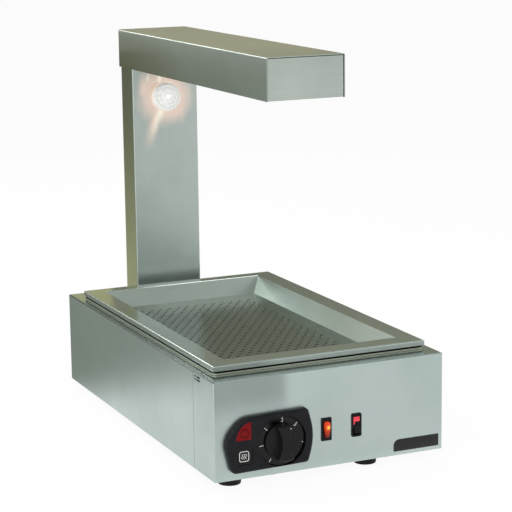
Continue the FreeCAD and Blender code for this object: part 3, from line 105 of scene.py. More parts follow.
def addNode(tree, kind, inputs=(), operation=None, **settings):
    node = tree.nodes.new("ShaderNode" + kind)
    if operation:
        node.operation = operation
    for name, value in settings.items():
        setattr(node, name, value)
    setInputs(tree, node, inputs)
    return node


def newMaterial(name):
    material = bpy.data.materials.new(name)
    material.use_nodes = True
    tree = material.node_tree
    return material, tree, tree.nodes["Principled BSDF"]


# Colour, roughness and relief, its depth in millimetres, and what else the material has
def finishShader(tree, shader, colour, rough, height, strength, depth, others):
    bump = addNode(tree, "Bump", {"Height": height, "Strength": strength, "Distance": depth * mm})
    setInputs(tree, shader, {"Base Color": colour, "Roughness": rough, "Normal": bump, **others})


# An uneven pattern on Object coordinates, stretched along some axes, spread from 0 to 1 between two levels
def mottle(tree, size, low=0.35, high=0.65, detail=3.0, rough=0.55, stretch=(1, 1, 1)):
    place = addNode(tree, "TexCoord").outputs["Object"]
    scaled = addNode(tree, "Mapping", {"Vector": place, "Scale": [part / size for part in stretch]})
    noise = addNode(tree, "TexNoise", {"Vector": scaled, "Scale": 1.0, "Detail": detail, "Roughness": rough})
    return addNode(tree, "MapRange", {"Value": noise, "From Min": low, "From Max": high})


# Gives a ramp a grey level at each place along it
def fillRamp(ramp, levels):
    stops = ramp.color_ramp.elements
    while len(stops) < len(levels):
        stops.new(0.5)
    for stop, (place, level) in zip(stops, levels):
        stop.position = place
        stop.color = (level, level, level, 1)


# Stainless steel sheet, cold rolled and finished on a fine belt: soft broad reflections and faint streaks.
steelFinish = {
    "pitch": 1.0,                     # between streaks; 0.1 mm on the real sheet, here the finest that shows
    "along": 0.011,                   # how much a streak changes along its run, to 1 across it
    "clouds": 120,                    # wiping leaves cloudy patches a hand's width across
    "marks": 14,                      # and finger marks
    "cloudShare": 0.45,
    "markRoughness": 0.03,
    "levelSmoothing": 0.4,            # on level faces the belt ran along the piece, so they are smoother
    # where a face starts to count and where it counts in full, by how far it looks up or down
    "level": (0.55, 0.95),
    "folded": (0.06, 0.25),
    "upright": (0.3, 0.15),
}


def brushedSteel(name, light, dark, grain="level", roughness=(0.27, 0.36), streak=0.3, fold=1.0, lipShade=1.0):
    finish = steelFinish
    material, tree, shader = newMaterial(name)
    axes = addNode(tree, "SeparateXYZ", [addNode(tree, "NewGeometry").outputs["Normal"]])
    upness = addNode(tree, "Math", [axes.outputs["Z"]], "ABSOLUTE")
    start, full = finish["level"]
    isTop = addNode(tree, "MapRange", {"Value": upness, "From Min": start, "From Max": full})
    along, across = finish["along"], 1.0
    onSide = {"level": (along, along, across), "upright": (across, across, along)}[grain]
    sideStreaks, topStreaks = (mottle(tree, finish["pitch"] * mm, 0.32, 0.68, 4.0, 0.62, stretch)
                               for stretch in (onSide, (across, along, along)))
    streaks = addNode(tree, "Mix", {0: isTop, 2: sideStreaks, 3: topStreaks})
    clouds = mottle(tree, finish["clouds"] * mm)
    marks = mottle(tree, finish["marks"] * mm, 0.52, 0.75, 5.0)
    lines = addNode(tree, "Math", [streaks, streak], "MULTIPLY")
    shade = addNode(tree, "Math", [clouds, finish["cloudShare"], lines], "MULTIPLY_ADD")
    colour = addNode(tree, "Mix", {0: shade, 6: dark, 7: light}, data_type="RGBA")
    if fold < 1:
        # painted shade: the long side folds are painted darker than the flats, which keeps the lamps' highlight
        # off them
        start, full = finish["folded"]
        bent = addNode(tree, "MapRange", {"Value": upness, "From Min": start, "From Max": full})
        sideness = addNode(tree, "Math", [axes.outputs["X"]], "ABSOLUTE")
        sideways = addNode(tree, "MapRange", {"Value": sideness, "From Min": start, "From Max": full})
        foldShade = addNode(tree, "Math", [bent, sideways], "MULTIPLY")
        colour = addNode(tree, "Mix", {0: foldShade, 6: colour, 7: toLinear(dark, fold)}, data_type="RGBA")
    if lipShade < 1:
        # painted shade: upright faces, such as the tray's lip, are painted darker
        start, full = finish["upright"]
        upright = addNode(tree, "MapRange", {"Value": upness, "From Min": start, "From Max": full})
        colour = addNode(tree, "Mix", {0: upright, 6: colour, 7: toLinear(dark, lipShade)}, data_type="RGBA")
    rough = addNode(tree, "MapRange", {"Value": shade, "To Min": roughness[1], "To Max": roughness[0]})
    rough = addNode(tree, "Math", [marks, finish["markRoughness"], rough], "MULTIPLY_ADD")
    smoothing = addNode(tree, "Math", [isTop, -finish["levelSmoothing"], 1.0], "MULTIPLY_ADD")
    rough = addNode(tree, "Math", [rough, smoothing], "MULTIPLY")
    finishShader(tree, shader, colour, rough, streaks, 0.25 * streak, 0.05, {"Metallic": 1.0})
    return material


# Moulded plastic, spark-eroded mould: a fine even grain that softens the highlight.
def mouldedPlastic(name, colour, worn, roughness=0.42, specular=0.2, grainDepth=0.04):
    material, tree, shader = newMaterial(name)
    grain = mottle(tree, 0.9 * mm, 0.3, 0.7, 2.0)
    smears = mottle(tree, 16 * mm, 0.4, 0.75, 4.0)
    tone = addNode(tree, "Mix", {0: smears, 6: colour, 7: worn}, data_type="RGBA")
    rough = addNode(tree, "MapRange", {"Value": smears, "To Min": roughness - 0.06, "To Max": roughness + 0.08})
    finishShader(tree, shader, tone, rough, grain, 0.3, grainDepth,
                 {"IOR": 1.5, "Specular IOR Level": specular})
    return material


# Polished acrylic or polycarbonate: a clean gloss with a few dull smears where fingers press.
def glossPlastic(name, colour, deep, roughness=0.14, specular=0.4, glow=0.0):
    material, tree, shader = newMaterial(name)
    smears = mottle(tree, 9 * mm, 0.45, 0.8, 4.0)
    depth = mottle(tree, 5 * mm, 0.3, 0.7, 2.0)
    tone = addNode(tree, "Mix", {0: depth, 6: deep, 7: colour}, data_type="RGBA")
    rough = addNode(tree, "Math", [smears, 0.14, roughness], "MULTIPLY_ADD")
    finishShader(tree, shader, tone, rough, depth, 0.08, 0.2, {"IOR": 1.49, "Specular IOR Level": specular})
    if glow:
        setInputs(tree, shader, {"Emission Color": tone, "Emission Strength": glow})
    return material


# Zinc plated and passivated steel: pale, a little yellow where the film is thicker, with a fine crystal mottle.
def zincPlate(name, light="#C9CBC6", dark="#A9AAA0", roughness=0.34):
    material, tree, shader = newMaterial(name)
    film = mottle(tree, 7 * mm, 0.35, 0.68, 3.0)
    crystals = mottle(tree, 0.8 * mm, 0.3, 0.7, 2.0)
    tone = addNode(tree, "Mix", {0: film, 6: dark, 7: light}, data_type="RGBA")
    yellow = addNode(tree, "Math", [crystals, 0.25], "MULTIPLY")
    tone = addNode(tree, "Mix", {0: yellow, 6: tone, 7: "#D8D2BC"}, data_type="RGBA")
    rough = addNode(tree, "Math", [crystals, 0.12, roughness - 0.06], "MULTIPLY_ADD")
    finishShader(tree, shader, tone, rough, crystals, 0.15, 0.03, {"Metallic": 1.0})
    return material


# Metal seen bare: turned, drawn or rolled, with a grain that breaks up the highlight.
def bareMetal(name, light, dark, roughness, size, stretch=(1, 1, 1), spread=0.1):
    material, tree, shader = newMaterial(name)
    grain = mottle(tree, size * mm, 0.3, 0.7, 4.0, 0.6, stretch)
    tarnish = mottle(tree, 12 * size * mm, 0.35, 0.7, 3.0)
    tone = addNode(tree, "Mix", {0: tarnish, 6: light, 7: dark}, data_type="RGBA")
    rough = addNode(tree, "Math", [tarnish, spread, roughness], "MULTIPLY_ADD")
    rough = addNode(tree, "Math", [grain, spread, rough], "MULTIPLY_ADD")
    finishShader(tree, shader, tone, rough, grain, 0.15, 0.04, {"Metallic": 1.0})
    return material


# Matt mineral or ceramic body: no gloss, specks and small pits.
def dryBody(name, light, dark, roughness, size, depth, stretch=(1, 1, 1)):
    material, tree, shader = newMaterial(name)
    pits = mottle(tree, size * mm, 0.3, 0.7, 5.0, 0.7, stretch)
    patches = mottle(tree, 10 * size * mm, 0.35, 0.7)
    tone = addNode(tree, "Mix", {0: pits, 6: dark, 7: light}, data_type="RGBA")
    soil = addNode(tree, "Math", [patches, 0.3], "MULTIPLY")
    tone = addNode(tree, "Mix", {0: soil, 6: tone, 7: dark}, data_type="RGBA")
    rough = addNode(tree, "Math", [pits, 0.1, roughness], "MULTIPLY_ADD")
    finishShader(tree, shader, tone, rough, pits, 0.5, depth, {"Specular IOR Level": 0.3})
    return material


# Glass, pressed or drawn: clear, with slow waves left by the mould, or etched to a soft white.
def lampGlassware(name, colour, roughness, clear, glowColour, glow, waves=6):
    material, tree, shader = newMaterial(name)
    swell = mottle(tree, waves * mm, 0.3, 0.7, 1.0)
    dust = mottle(tree, 1.5 * mm, 0.5, 0.8, 4.0)
    haze = addNode(tree, "Math", [dust, 0.2], "MULTIPLY")
    tone = addNode(tree, "Mix", {0: haze, 6: colour, 7: "#FFFFFF"}, data_type="RGBA")
    rough = addNode(tree, "Math", [dust, 0.1, roughness], "MULTIPLY_ADD")
    tint = addNode(tree, "Mix", {0: swell, 6: glowColour, 7: "#FFFFFF"}, data_type="RGBA")
    finishShader(tree, shader, tone, rough, swell, 0.1, 0.3,
                 {"IOR": 1.46, "Transmission Weight": clear, "Emission Color": tint, "Emission Strength": glow})
    return material


# Glass-fibre sleeving over the leads: a fine diagonal braid with a dry sheen.
def braidedSleeve(name, thread, gap):
    material, tree, shader = newMaterial(name)
    place = addNode(tree, "TexCoord").outputs["Object"]
    pitch = 1.2 * mm                  # threads are 0.3 mm on the real sleeve, coarser here so that they show
    bands = []
    for turn in (45, -45):
        turned = addNode(tree, "Mapping", {"Vector": place, "Rotation": [math.radians(turn)] * 3,
                                           "Scale": [1 / pitch] * 3})
        wave = addNode(tree, "TexWave", {"Vector": turned, "Scale": 0.32}, bands_direction="DIAGONAL")
        bands.append(wave.outputs["Fac"])
    weave = addNode(tree, "Math", bands, "MAXIMUM")
    soil = addNode(tree, "Math", [mottle(tree, 20 * mm, 0.4, 0.7), 0.2], "MULTIPLY")
    tone = addNode(tree, "Mix", {0: weave, 6: gap, 7: thread}, data_type="RGBA")
    tone = addNode(tree, "Mix", {0: soil, 6: tone, 7: gap}, data_type="RGBA")
    rough = addNode(tree, "Math", [weave, -0.15, 0.75], "MULTIPLY_ADD")
    finishShader(tree, shader, tone, rough, weave, 0.4, 0.15, {"Sheen Weight": 0.2})
    return material


# The lit lamp throws a warm wash on the column's face: a halo round the glass, bright streaks and a pink blush.
lampWash = {
    # places are across and up on the column's face, in millimetres
    "centre": (0.0, 464.0),
    "halo": (22.0, 52.0),             # where the halo is full and where it ends
    "ragged": 9.0,                    # how far its edge wanders
    "core": (21.0, 27.0),             # the bright ring round the glass
    "haloColour": "#E3A488",
    "haloStrength": 0.5,
    "coreColour": "#F2D8BE",
    "coreStrength": 0.15,
    # streaks: from, to and half the width
    "bright": [((-6.0, 446.0), (-34.0, 372.0), 10.0), ((-9.0, 490.0), (-13.0, 514.0), 6.0),
               ((-30.0, 494.0), (-27.0, 516.0), 5.0)],
    "blush": [((-36.0, 474.0), (-33.0, 514.0), 15.0), ((-14.0, 440.0), (-36.0, 372.0), 14.0)],
}
smooth = "SMOOTHSTEP"


# Places on a face that looks forward, across and up, in millimetres
def facePlaces(tree):
    place = addNode(tree, "TexCoord").outputs["Object"]
    return addNode(tree, "VectorMath", [place, (1 / mm, 0, 1 / mm)], "MULTIPLY")


# One soft streak that fades along its run and across it
def addStreak(tree, places, start, end, half):
    run = Vector((end[0] - start[0], end[1] - start[1]))
    length = run.length
    run.normalize()
    moved = addNode(tree, "VectorMath", [places, (start[0], 0, start[1])], "SUBTRACT")
    along = addNode(tree, "VectorMath", [moved, (run[0], 0, run[1])], "DOT_PRODUCT")
    across = addNode(tree, "VectorMath", [moved, (run[1], 0, -run[0])], "DOT_PRODUCT")
    side = addNode(tree, "Math", [across], "ABSOLUTE")
    fade = addNode(tree, "MapRange", {"Value": along, "From Min": length, "From Max": 0.1 * length},
                   interpolation_type=smooth)
    begin = addNode(tree, "MapRange", {"Value": along, "From Min": -1.5 * half, "From Max": 0.0},
                    interpolation_type=smooth)
    body = addNode(tree, "MapRange", {"Value": side, "From Min": half, "From Max": 0.0},
                   interpolation_type=smooth)
    ends = addNode(tree, "Math", [fade, begin], "MULTIPLY")
    return addNode(tree, "Math", [ends, body], "MULTIPLY")


def addWash(material, wash):
    tree = material.node_tree
    places = facePlaces(tree)
    centre = (wash["centre"][0], 0, wash["centre"][1])
    away = addNode(tree, "VectorMath", [places, centre], "DISTANCE")
    uneven = mottle(tree, 26 * mm, 0.3, 0.7, 2.0, 0.5, (1, 1, 0.4))
    reach = addNode(tree, "Math", [uneven, -wash["ragged"], away], "MULTIPLY_ADD")
    full, end = wash["halo"]
    halo = addNode(tree, "MapRange", {"Value": reach, "From Min": end, "From Max": full},
                   interpolation_type=smooth)
    for streak in wash["blush"]:
        halo = addNode(tree, "Math", [halo, addStreak(tree, places, *streak)], "MAXIMUM")
    full, end = wash["core"]
    bright = addNode(tree, "MapRange", {"Value": away, "From Min": end, "From Max": full},
                     interpolation_type=smooth)
    for streak in wash["bright"]:
        bright = addNode(tree, "Math", [bright, addStreak(tree, places, *streak)], "MAXIMUM")
    axes = addNode(tree, "SeparateXYZ", [addNode(tree, "NewGeometry").outputs["Normal"]])
    front = addNode(tree, "MapRange", {"Value": axes.outputs["Y"], "From Min": -0.5, "From Max": -0.95})
    colour = addNode(tree, "Mix", {0: bright, 6: wash["haloColour"], 7: wash["coreColour"]}, data_type="RGBA")
    haze = addNode(tree, "Math", [halo, wash["haloStrength"]], "MULTIPLY")
    amount = addNode(tree, "Math", [bright, wash["coreStrength"], haze], "MULTIPLY_ADD")
    amount = addNode(tree, "Math", [amount, front], "MULTIPLY")
    setInputs(tree, tree.nodes["Principled BSDF"], {"Emission Color": colour, "Emission Strength": amount})


# Amber polycarbonate lens over a neon: deep orange, brightest before the glow tube, ribbed in its lower half.
amberGlow = {
    "body": "#CE3A12", "low": "#4E140A", "rib": "#7A2414", "spot": "#FFC84A",
    "centre": (-0.0072, -0.3195, 0.0685),    # of the bright spot
    "spotSize": (1.2, 6.0),           # where the spot is full and where it ends
    "darkening": (2.0, 14.0),         # from and to, below the spot
    "ribPitch": 1.6,
    "strength": 0.33,
}


def litLens(name, glow):
    material, tree, shader = newMaterial(name)
    place = addNode(tree, "TexCoord").outputs["Object"]
    away = addNode(tree, "VectorMath", [place, glow["centre"]], "DISTANCE")
    full, end = glow["spotSize"]
    near = addNode(tree, "MapRange", {"Value": away, "From Min": end * mm, "From Max": full * mm},
                   interpolation_type=smooth)
    axes = addNode(tree, "SeparateXYZ", [place])
    first, last = (glow["centre"][2] - drop * mm for drop in glow["darkening"])
    lower = addNode(tree, "MapRange", {"Value": axes.outputs["Z"], "From Min": first, "From Max": last})
    pitch = glow["ribPitch"] * mm
    turns = addNode(tree, "Math", [axes.outputs["X"], 2 * math.pi / pitch], "MULTIPLY")
    ribs = addNode(tree, "Math", [addNode(tree, "Math", [turns], "SINE"), 0.5, 0.5], "MULTIPLY_ADD")
    ribbed = addNode(tree, "Math", [ribs, lower], "MULTIPLY")
    tone = addNode(tree, "Mix", {0: lower, 6: glow["body"], 7: glow["low"]}, data_type="RGBA")
    ribShare = addNode(tree, "Math", [ribbed, 0.45], "MULTIPLY")
    tone = addNode(tree, "Mix", {0: ribShare, 6: tone, 7: glow["rib"]}, data_type="RGBA")
    spot = addNode(tree, "Math", [near, 3.0], "POWER")
    tone = addNode(tree, "Mix", {0: spot, 6: tone, 7: glow["spot"]}, data_type="RGBA")
    rough = addNode(tree, "Math", [lower, 0.12, 0.16], "MULTIPLY_ADD")
    finishShader(tree, shader, tone, rough, ribbed, 0.4, 0.3,
                 {"IOR": 1.49, "Specular IOR Level": 0.35, "Emission Color": tone,
                  "Emission Strength": glow["strength"]})
    return material


casingSteel = brushedSteel("brushedStainlessCasing", "#C4D1CE", "#B1BFBB", streak=0.2, fold=0.25)
columnSteel = brushedSteel("brushedStainlessColumn", "#B9C3BF", "#A8B3AE", grain="upright")
armSteel = brushedSteel("brushedStainlessArm", "#BCC5BE", "#A9B2AA")
# the tray's upright lip carries painted shade
traySteel = brushedSteel("brushedStainlessTray", "#D0D9D3", "#BDC7C1", roughness=(0.28, 0.35), streak=0.18,
                         lipShade=0.72)
floorSteel = brushedSteel("perforatedStainlessSheet", "#979F97", "#868E87", roughness=(0.34, 0.42), streak=0.2)
panSteel = brushedSteel("brushedStainlessPan", "#B4B8A8", "#A2A696", roughness=(0.44, 0.52), streak=0.2)
# the liner sits in the heat, deep in the well: its steel is painted a dull brown grey, partly heat tint and
# partly painted shade for the dark well
linerSteel = brushedSteel("heatTintAndShadeStainless", "#6B675E", "#514E47", roughness=(0.4, 0.5))
blackMoulding = mouldedPlastic("satinBlackNylon", "#0F1014", "#17181C")
knobBlack = mouldedPlastic("satinBlackPhenolic", "#121214", "#1A1A1C", roughness=0.38)
switchBlack = mouldedPlastic("satinBlackPolyamide", "#08080A", "#121214", roughness=0.36)
rubber = mouldedPlastic("blackRubberFoot", "#0C0C0D", "#18181A", roughness=0.62)
blackNylon = mouldedPlastic("blackNylonGland", "#101012", "#1C1C1F", roughness=0.4)
regulatorCase = mouldedPlastic("ivoryPhenolicCase", "#D8CFB6", "#BFB597", roughness=0.45, specular=0.4)
terminalNylon = mouldedPlastic("naturalNylonBlock", "#E2E0D6", "#CBC8BA", roughness=0.48, specular=0.4)
printWhite = mouldedPlastic("padPrintedWhite", "#F0F0EC", "#D4D4CE", roughness=0.5, specular=0.3,
                            grainDepth=0.01)
printDark = mouldedPlastic("padPrintedDark", "#160304", "#200506", roughness=0.55, specular=0.08)
dialBlack = glossPlastic("polishedBlackDial", "#060607", "#040405", roughness=0.2, specular=0.3)
redAcrylic = glossPlastic("deepRedAcrylic", "#861014", "#6C0C10", roughness=0.3, specular=0.12)
redLens = glossPlastic("litRedPolycarbonate", "#E04652", "#C83A46", roughness=0.25, specular=0.3, glow=0.36)
tileBlack = glossPlastic("blackAcrylicTile", "#101013", "#0B0B0D", roughness=0.3, specular=0.25)
plateBlack = glossPlastic("polishedBlackPlate", "#0C0C0E", "#101014", roughness=0.1, specular=0.45)
amberLens = litLens("litAmberPolycarbonate", amberGlow)
neonGlass = lampGlassware("neonGlass", "#FFD9B0", 0.1, 0.6, "#FF8A3A", 1.2, 2)
pressedGlass = lampGlassware("pressedFrostedGlass", "#ECEDEA", 0.28, 0.1, "#E4E4DE", 0.2)
bulbGlass = lampGlassware("litHalogenCapsule", "#FFEEDC", 0.08, 0.5, "#FFD9A6", 0.9, 3)
quartz = lampGlassware("drawnQuartzTube", "#F4EFE8", 0.18, 0.85, "#FFB48A", 0.06, 9)
zincSheet = zincPlate("zincPlatedSheet")
zincScrew = zincPlate("zincPlatedScrew", "#CDCFCA", "#AEB0A8", 0.28)
oxidisedSheath = bareMetal("heatTintedSheath", "#6E675C", "#43464A", 0.42, 1.5, spread=0.14)
brass = bareMetal("turnedBrass", "#C9A45C", "#94753C", 0.3, 1.2)
tinnedBrass = bareMetal("tinnedBrassTab", "#CBC9C0", "#A9A79C", 0.32, 1)
chromeWire = bareMetal("bentChromeWire", "#D3D7D8", "#B4B9BA", 0.14, 1.5, spread=0.06)
coilWire = bareMetal("glowingResistanceWire", "#8C6A55", "#5C4A42", 0.45, 1)
brightSteel = bareMetal("brightDrawnSteel", "#C9CDCD", "#A8ACAC", 0.24, 1.5, spread=0.08)
reflectorAluminium = bareMetal("polishedReflectorAluminium", "#DEE1E1", "#C3C8C8", 0.16, 3, (1, 0.05, 1), 0.08)
mineralWool = dryBody("pressedMineralWool", "#C7B98F", "#9C8E66", 0.9, 2.2, 0.9, (0.3, 1, 1))
ceramic = dryBody("unglazedSteatite", "#E6E1D4", "#CFC8B6", 0.72, 1.6, 0.08)
sleeve = braidedSleeve("glassFibreSleeving", "#D9CCAC", "#8F8262")
addWash(columnSteel, lampWash)

# The capsule shows through the lit glass as a bright spot a little above its middle, and the rim catches it.
hotSpot = {
    "centre": (0.5, 465.5),
    "span": 24.0,                     # millimetres from the centre to the last level
    "levels": [(0.03, 0.8), (0.14, 0.3), (0.3, 0.2), (0.42, 0.28), (0.5, 0.14), (0.66, 0.24), (0.74, 0.12),
               (0.86, 0.18), (0.97, 0.22)],
}


def addHotSpot(material, spot):
    tree = material.node_tree
    centre = (spot["centre"][0], 0, spot["centre"][1])
    away = addNode(tree, "VectorMath", [facePlaces(tree), centre], "DISTANCE")
    share = addNode(tree, "Math", [away, 1 / spot["span"]], "MULTIPLY")
    ramp = addNode(tree, "ValToRGB", [share])
    fillRamp(ramp, spot["levels"])
    setInputs(tree, tree.nodes["Principled BSDF"], {"Emission Strength": ramp})


addHotSpot(pressedGlass, hotSpot)

# Painted shade: the pan's step, which lies under the tray's lip, is painted near black to stand in for the
# shadow in the slot beneath the lip.
paintedSlotShade = {
    "colour": "#0C0B09",
    "inset": 7.8,                     # from the rim's outside to where the painted shade starts
    "edge": 1.4,                      # the rim's top fold is left unpainted
    "step": 7.6,                      # from the rim's top down to the step
    "lap": 1.1,                       # how far the painted shade reaches below the step
    "fade": 0.4,
}


def addPaintedSlotShade(material, piece, slotShade):
    tree = material.node_tree
    shader = tree.nodes["Principled BSDF"]
    low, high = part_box(piece)
    middle, half = (low + high) / 2, (high - low) / 2
    axes = addNode(tree, "SeparateXYZ", [addNode(tree, "TexCoord").outputs["Object"]])
    beyond = []
    for axis in (0, 1):
        offset = addNode(tree, "Math", [axes.outputs[axis], middle[axis]], "SUBTRACT")
        offset = addNode(tree, "Math", [offset], "ABSOLUTE")
        beyond.append(addNode(tree, "Math", [offset, half[axis] - slotShade["inset"] * mm], "SUBTRACT"))
    outside = addNode(tree, "Math", beyond, "MAXIMUM")
    outside = addNode(tree, "Math", [outside, 0.0], "GREATER_THAN")
    lapEnd = high.z - (slotShade["step"] + slotShade["lap"]) * mm
    above = addNode(tree, "MapRange", {"Value": axes.outputs["Z"], "From Min": lapEnd - slotShade["fade"] * mm,
                                       "From Max": lapEnd})
    below = addNode(tree, "Math", [axes.outputs["Z"], high.z - slotShade["edge"] * mm], "LESS_THAN")
    mask = addNode(tree, "Math", [outside, above], "MULTIPLY")
    mask = addNode(tree, "Math", [mask, below], "MULTIPLY")
    unshaded = shader.inputs["Base Color"].links[0].from_socket
    # mixes the painted near-black shade into the steel's own colour
    tone = addNode(tree, "Mix", {0: mask, 6: unshaded, 7: slotShade["colour"]}, data_type="RGBA")
    setInputs(tree, shader, {"Base Color": tone})


addPaintedSlotShade(panSteel, "crumb_pan", paintedSlotShade)

finishes = [
    (casingSteel, ["cabinet_shell", "front_cover", "rear_panel"]),
    (columnSteel, ["column_shell", "column_cover"]),
    (armSteel, ["arm_shell", "arm_end_cap"]),
    (traySteel, ["chip_tray"]),
    (floorSteel, ["tray_floor"]),
    (panSteel, ["crumb_pan"]),
    (linerSteel, ["well_liner"]),
    (blackMoulding, ["control_bezel"]),
    (knobBlack, ["control_knob"]),
    (dialBlack, ["dial_skirt"]),
    (switchBlack, ["pilot_frame", "rocker_frame", "rocker_paddle", "wire_grommet"]),
    (rubber, ["foot_front_left", "foot_front_right", "foot_rear_left", "foot_rear_right"]),
    (redAcrylic, ["red_window"]),
    (tileBlack, ["icon_tile"]),
    (plateBlack, ["badge_plate"]),
    (redLens, ["rocker_lens"]),
    (amberLens, ["pilot_lens"]),
    (neonGlass, ["pilot_neon"]),
    (zincSheet, ["base_plate", "heat_shield", "element_saddles", "reflector_stays"]),
    (zincScrew, ["foot_screws", "case_screws", "bezel_screws", "block_screws", "column_bolts", "column_nuts"]),
    (oxidisedSheath, ["base_element"]),
    (brass, ["element_bushes", "panel_nut"]),
    (tinnedBrass, ["spade_tabs"]),
    (chromeWire, ["wire_guard"]),
    (brightSteel, ["knob_spindle", "lamp_housing"]),
    (reflectorAluminium, ["heat_reflector"]),
    (mineralWool, ["insulation_slab"]),
    (ceramic, ["lamp_socket", "front_tube_holder", "rear_tube_holder"]),
    (regulatorCase, ["heat_regulator"]),
    (terminalNylon, ["terminal_block"]),
    (blackNylon, ["cable_gland", "gland_nut"]),
    (pressedGlass, ["lamp_glass"]),
    (bulbGlass, ["lamp_bulb"]),
    (quartz, ["heat_tube"]),
    (sleeve, ["column_leads", "cabinet_leads"]),
]
for material, names in finishes:
    for name in names:
        mesh = nodes[name].data
        mesh.materials.clear()
        mesh.materials.append(material)
bare = set(nodes) - {name for material, names in finishes for name in names}
print("materials ready; nodes without one:", sorted(bare))


# Small helpers for modelling by hand

def clearSelection():
    if bpy.context.object and bpy.context.object.mode != "OBJECT":
        bpy.ops.object.mode_set(mode="OBJECT")
    bpy.ops.object.select_all(action="DESELECT")


def only(piece):
    clearSelection()
    piece.select_set(True)
    bpy.context.view_layer.objects.active = piece


def applyPlace():
    bpy.ops.object.transform_apply(location=True, rotation=True, scale=True)


def startBlock(place, size):
    clearSelection()
    bpy.ops.mesh.primitive_cube_add(size=1, location=place, scale=size)
    applyPlace()
    return bpy.context.object


# A round block that faces the front
def startDisc(place, radius, depth, sides):
    clearSelection()
    bpy.ops.mesh.primitive_cylinder_add(vertices=sides, radius=radius, depth=depth, location=place,
                                        rotation=(math.radians(90), 0, 0))
    applyPlace()
    return bpy.context.object


def startPicking(piece, kind):
    only(piece)
    bpy.ops.object.mode_set(mode="EDIT")
    bpy.ops.mesh.select_mode(type=kind)
    bpy.ops.mesh.select_all(action="DESELECT")
    return bmesh.from_edit_mesh(piece.data)


def pickFaces(piece, test):
    mesh = startPicking(piece, "FACE")
    for face in mesh.faces:
        if test(face.calc_center_median(), face.normal):
            face.select_set(True)
    bmesh.update_edit_mesh(piece.data)


def same(a, b):
    return abs(a - b) < 0.01 * mm


# Picks the edges whose two ends both pass the test
def pickEdges(piece, test):
    mesh = startPicking(piece, "EDGE")
    for edge in mesh.edges:
        if test(edge.verts[0].co, edge.verts[1].co):
            edge.select_set(True)
    bmesh.update_edit_mesh(piece.data)


def softenEdges(piece, width, segments=2, angle=40):
    only(piece)
    bevel = piece.modifiers.new("softEdges", "BEVEL")
    bevel.width = width * mm
    bevel.segments = segments
    bevel.limit_method = "ANGLE"
    bevel.angle_limit = math.radians(angle)
    bpy.ops.object.modifier_apply(modifier=bevel.name)


def joinPieces(pieces):
    only(pieces[0])
    for piece in pieces[1:]:
        piece.select_set(True)
    bpy.ops.object.join()
    return bpy.context.object


def mergeDoubles():
    bpy.ops.object.mode_set(mode="EDIT")
    bpy.ops.mesh.select_all(action="SELECT")
    bpy.ops.mesh.remove_doubles(threshold=0.01 * mm)


def finishPiece(piece, name, body, material, stands=(), smoothAngle=35):
    only(piece)
    applyPlace()
    mergeDoubles()
    bpy.ops.mesh.normals_make_consistent(inside=False)
    bpy.ops.object.mode_set(mode="OBJECT")
    bpy.ops.object.shade_smooth_by_angle(angle=math.radians(smoothAngle))
    piece.name = name
    piece.data.name = name
    piece.data.materials.clear()
    piece.data.materials.append(material)
    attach(piece, body)
    if stands:
        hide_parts(*stands)


# A copy of a CAD node's mesh, its triangles merged into clean faces, ready to be worked on
def copyNode(node):
    piece = bpy.data.objects.new(node + "Copy", nodes[node].data.copy())
    scene.collection.objects.link(piece)
    only(piece)
    mergeDoubles()
    bpy.ops.mesh.dissolve_limited(angle_limit=math.radians(0.5))
    bpy.ops.object.mode_set(mode="OBJECT")
    return piece


# Moulded and pressed parts: the CAD shapes with their edges eased, so that the light catches them
easedParts = {
    # node: name, body, slot, material, width and segments of its eased edges
    "control_bezel": ("panelMoulding", "cabinet", "black_moulding", blackMoulding, 0.8, 3),
    "control_knob": ("gripKnob", "control_knob", "knob_plastic", knobBlack, 0.8, 3),
    "red_window": ("windowInset", "cabinet", "red_window", redAcrylic, 0.3, 2),
    "icon_tile": ("signTile", "cabinet", "icon_tile", tileBlack, 0.3, 2),
    "rocker_frame": ("rockerSurround", "cabinet", "black_moulding", switchBlack, 0.5, 2),
    "rocker_paddle": ("rockerPaddle", "rocker", "black_moulding", switchBlack, 0.6, 3),
    "badge_plate": ("barePlate", "cabinet", "black_plate", plateBlack, 0.25, 2),
}
for node, (name, body, slot, material, width, segments) in easedParts.items():
    piece = copyNode(node)
    softenEdges(piece, width, segments)
    finishPiece(piece, name, body, material, [node])
print("eased parts:", len(easedParts))

# Pressed lamp glass: a thick lens with steps and rings in its face, hollow behind over the lamp's collar
lampGlassShape = {
    "radius": 22.5,
    "sides": 96,
    "setBack": 1.2,                   # the rim's front, behind the middle's
    "collarGap": 3.2,                 # wall left round the collar
    "collarDepth": 5.9,
    "edge": 1.8,
    "rings": [(2.6, 0.0), (0.5, -0.9), (0.9, 0.0), (0.5, 1.1), (3.2, 0.3), (0.5, -0.8), (0.8, 0.0), (0.5, 0.9),
              (2.6, 0.3), (0.5, -0.7), (0.7, 0.0), (0.5, 0.8), (2.2, 0.5), (2.0, 0.5), (1.8, 0.3)],
    "ringEdge": 0.18,
}


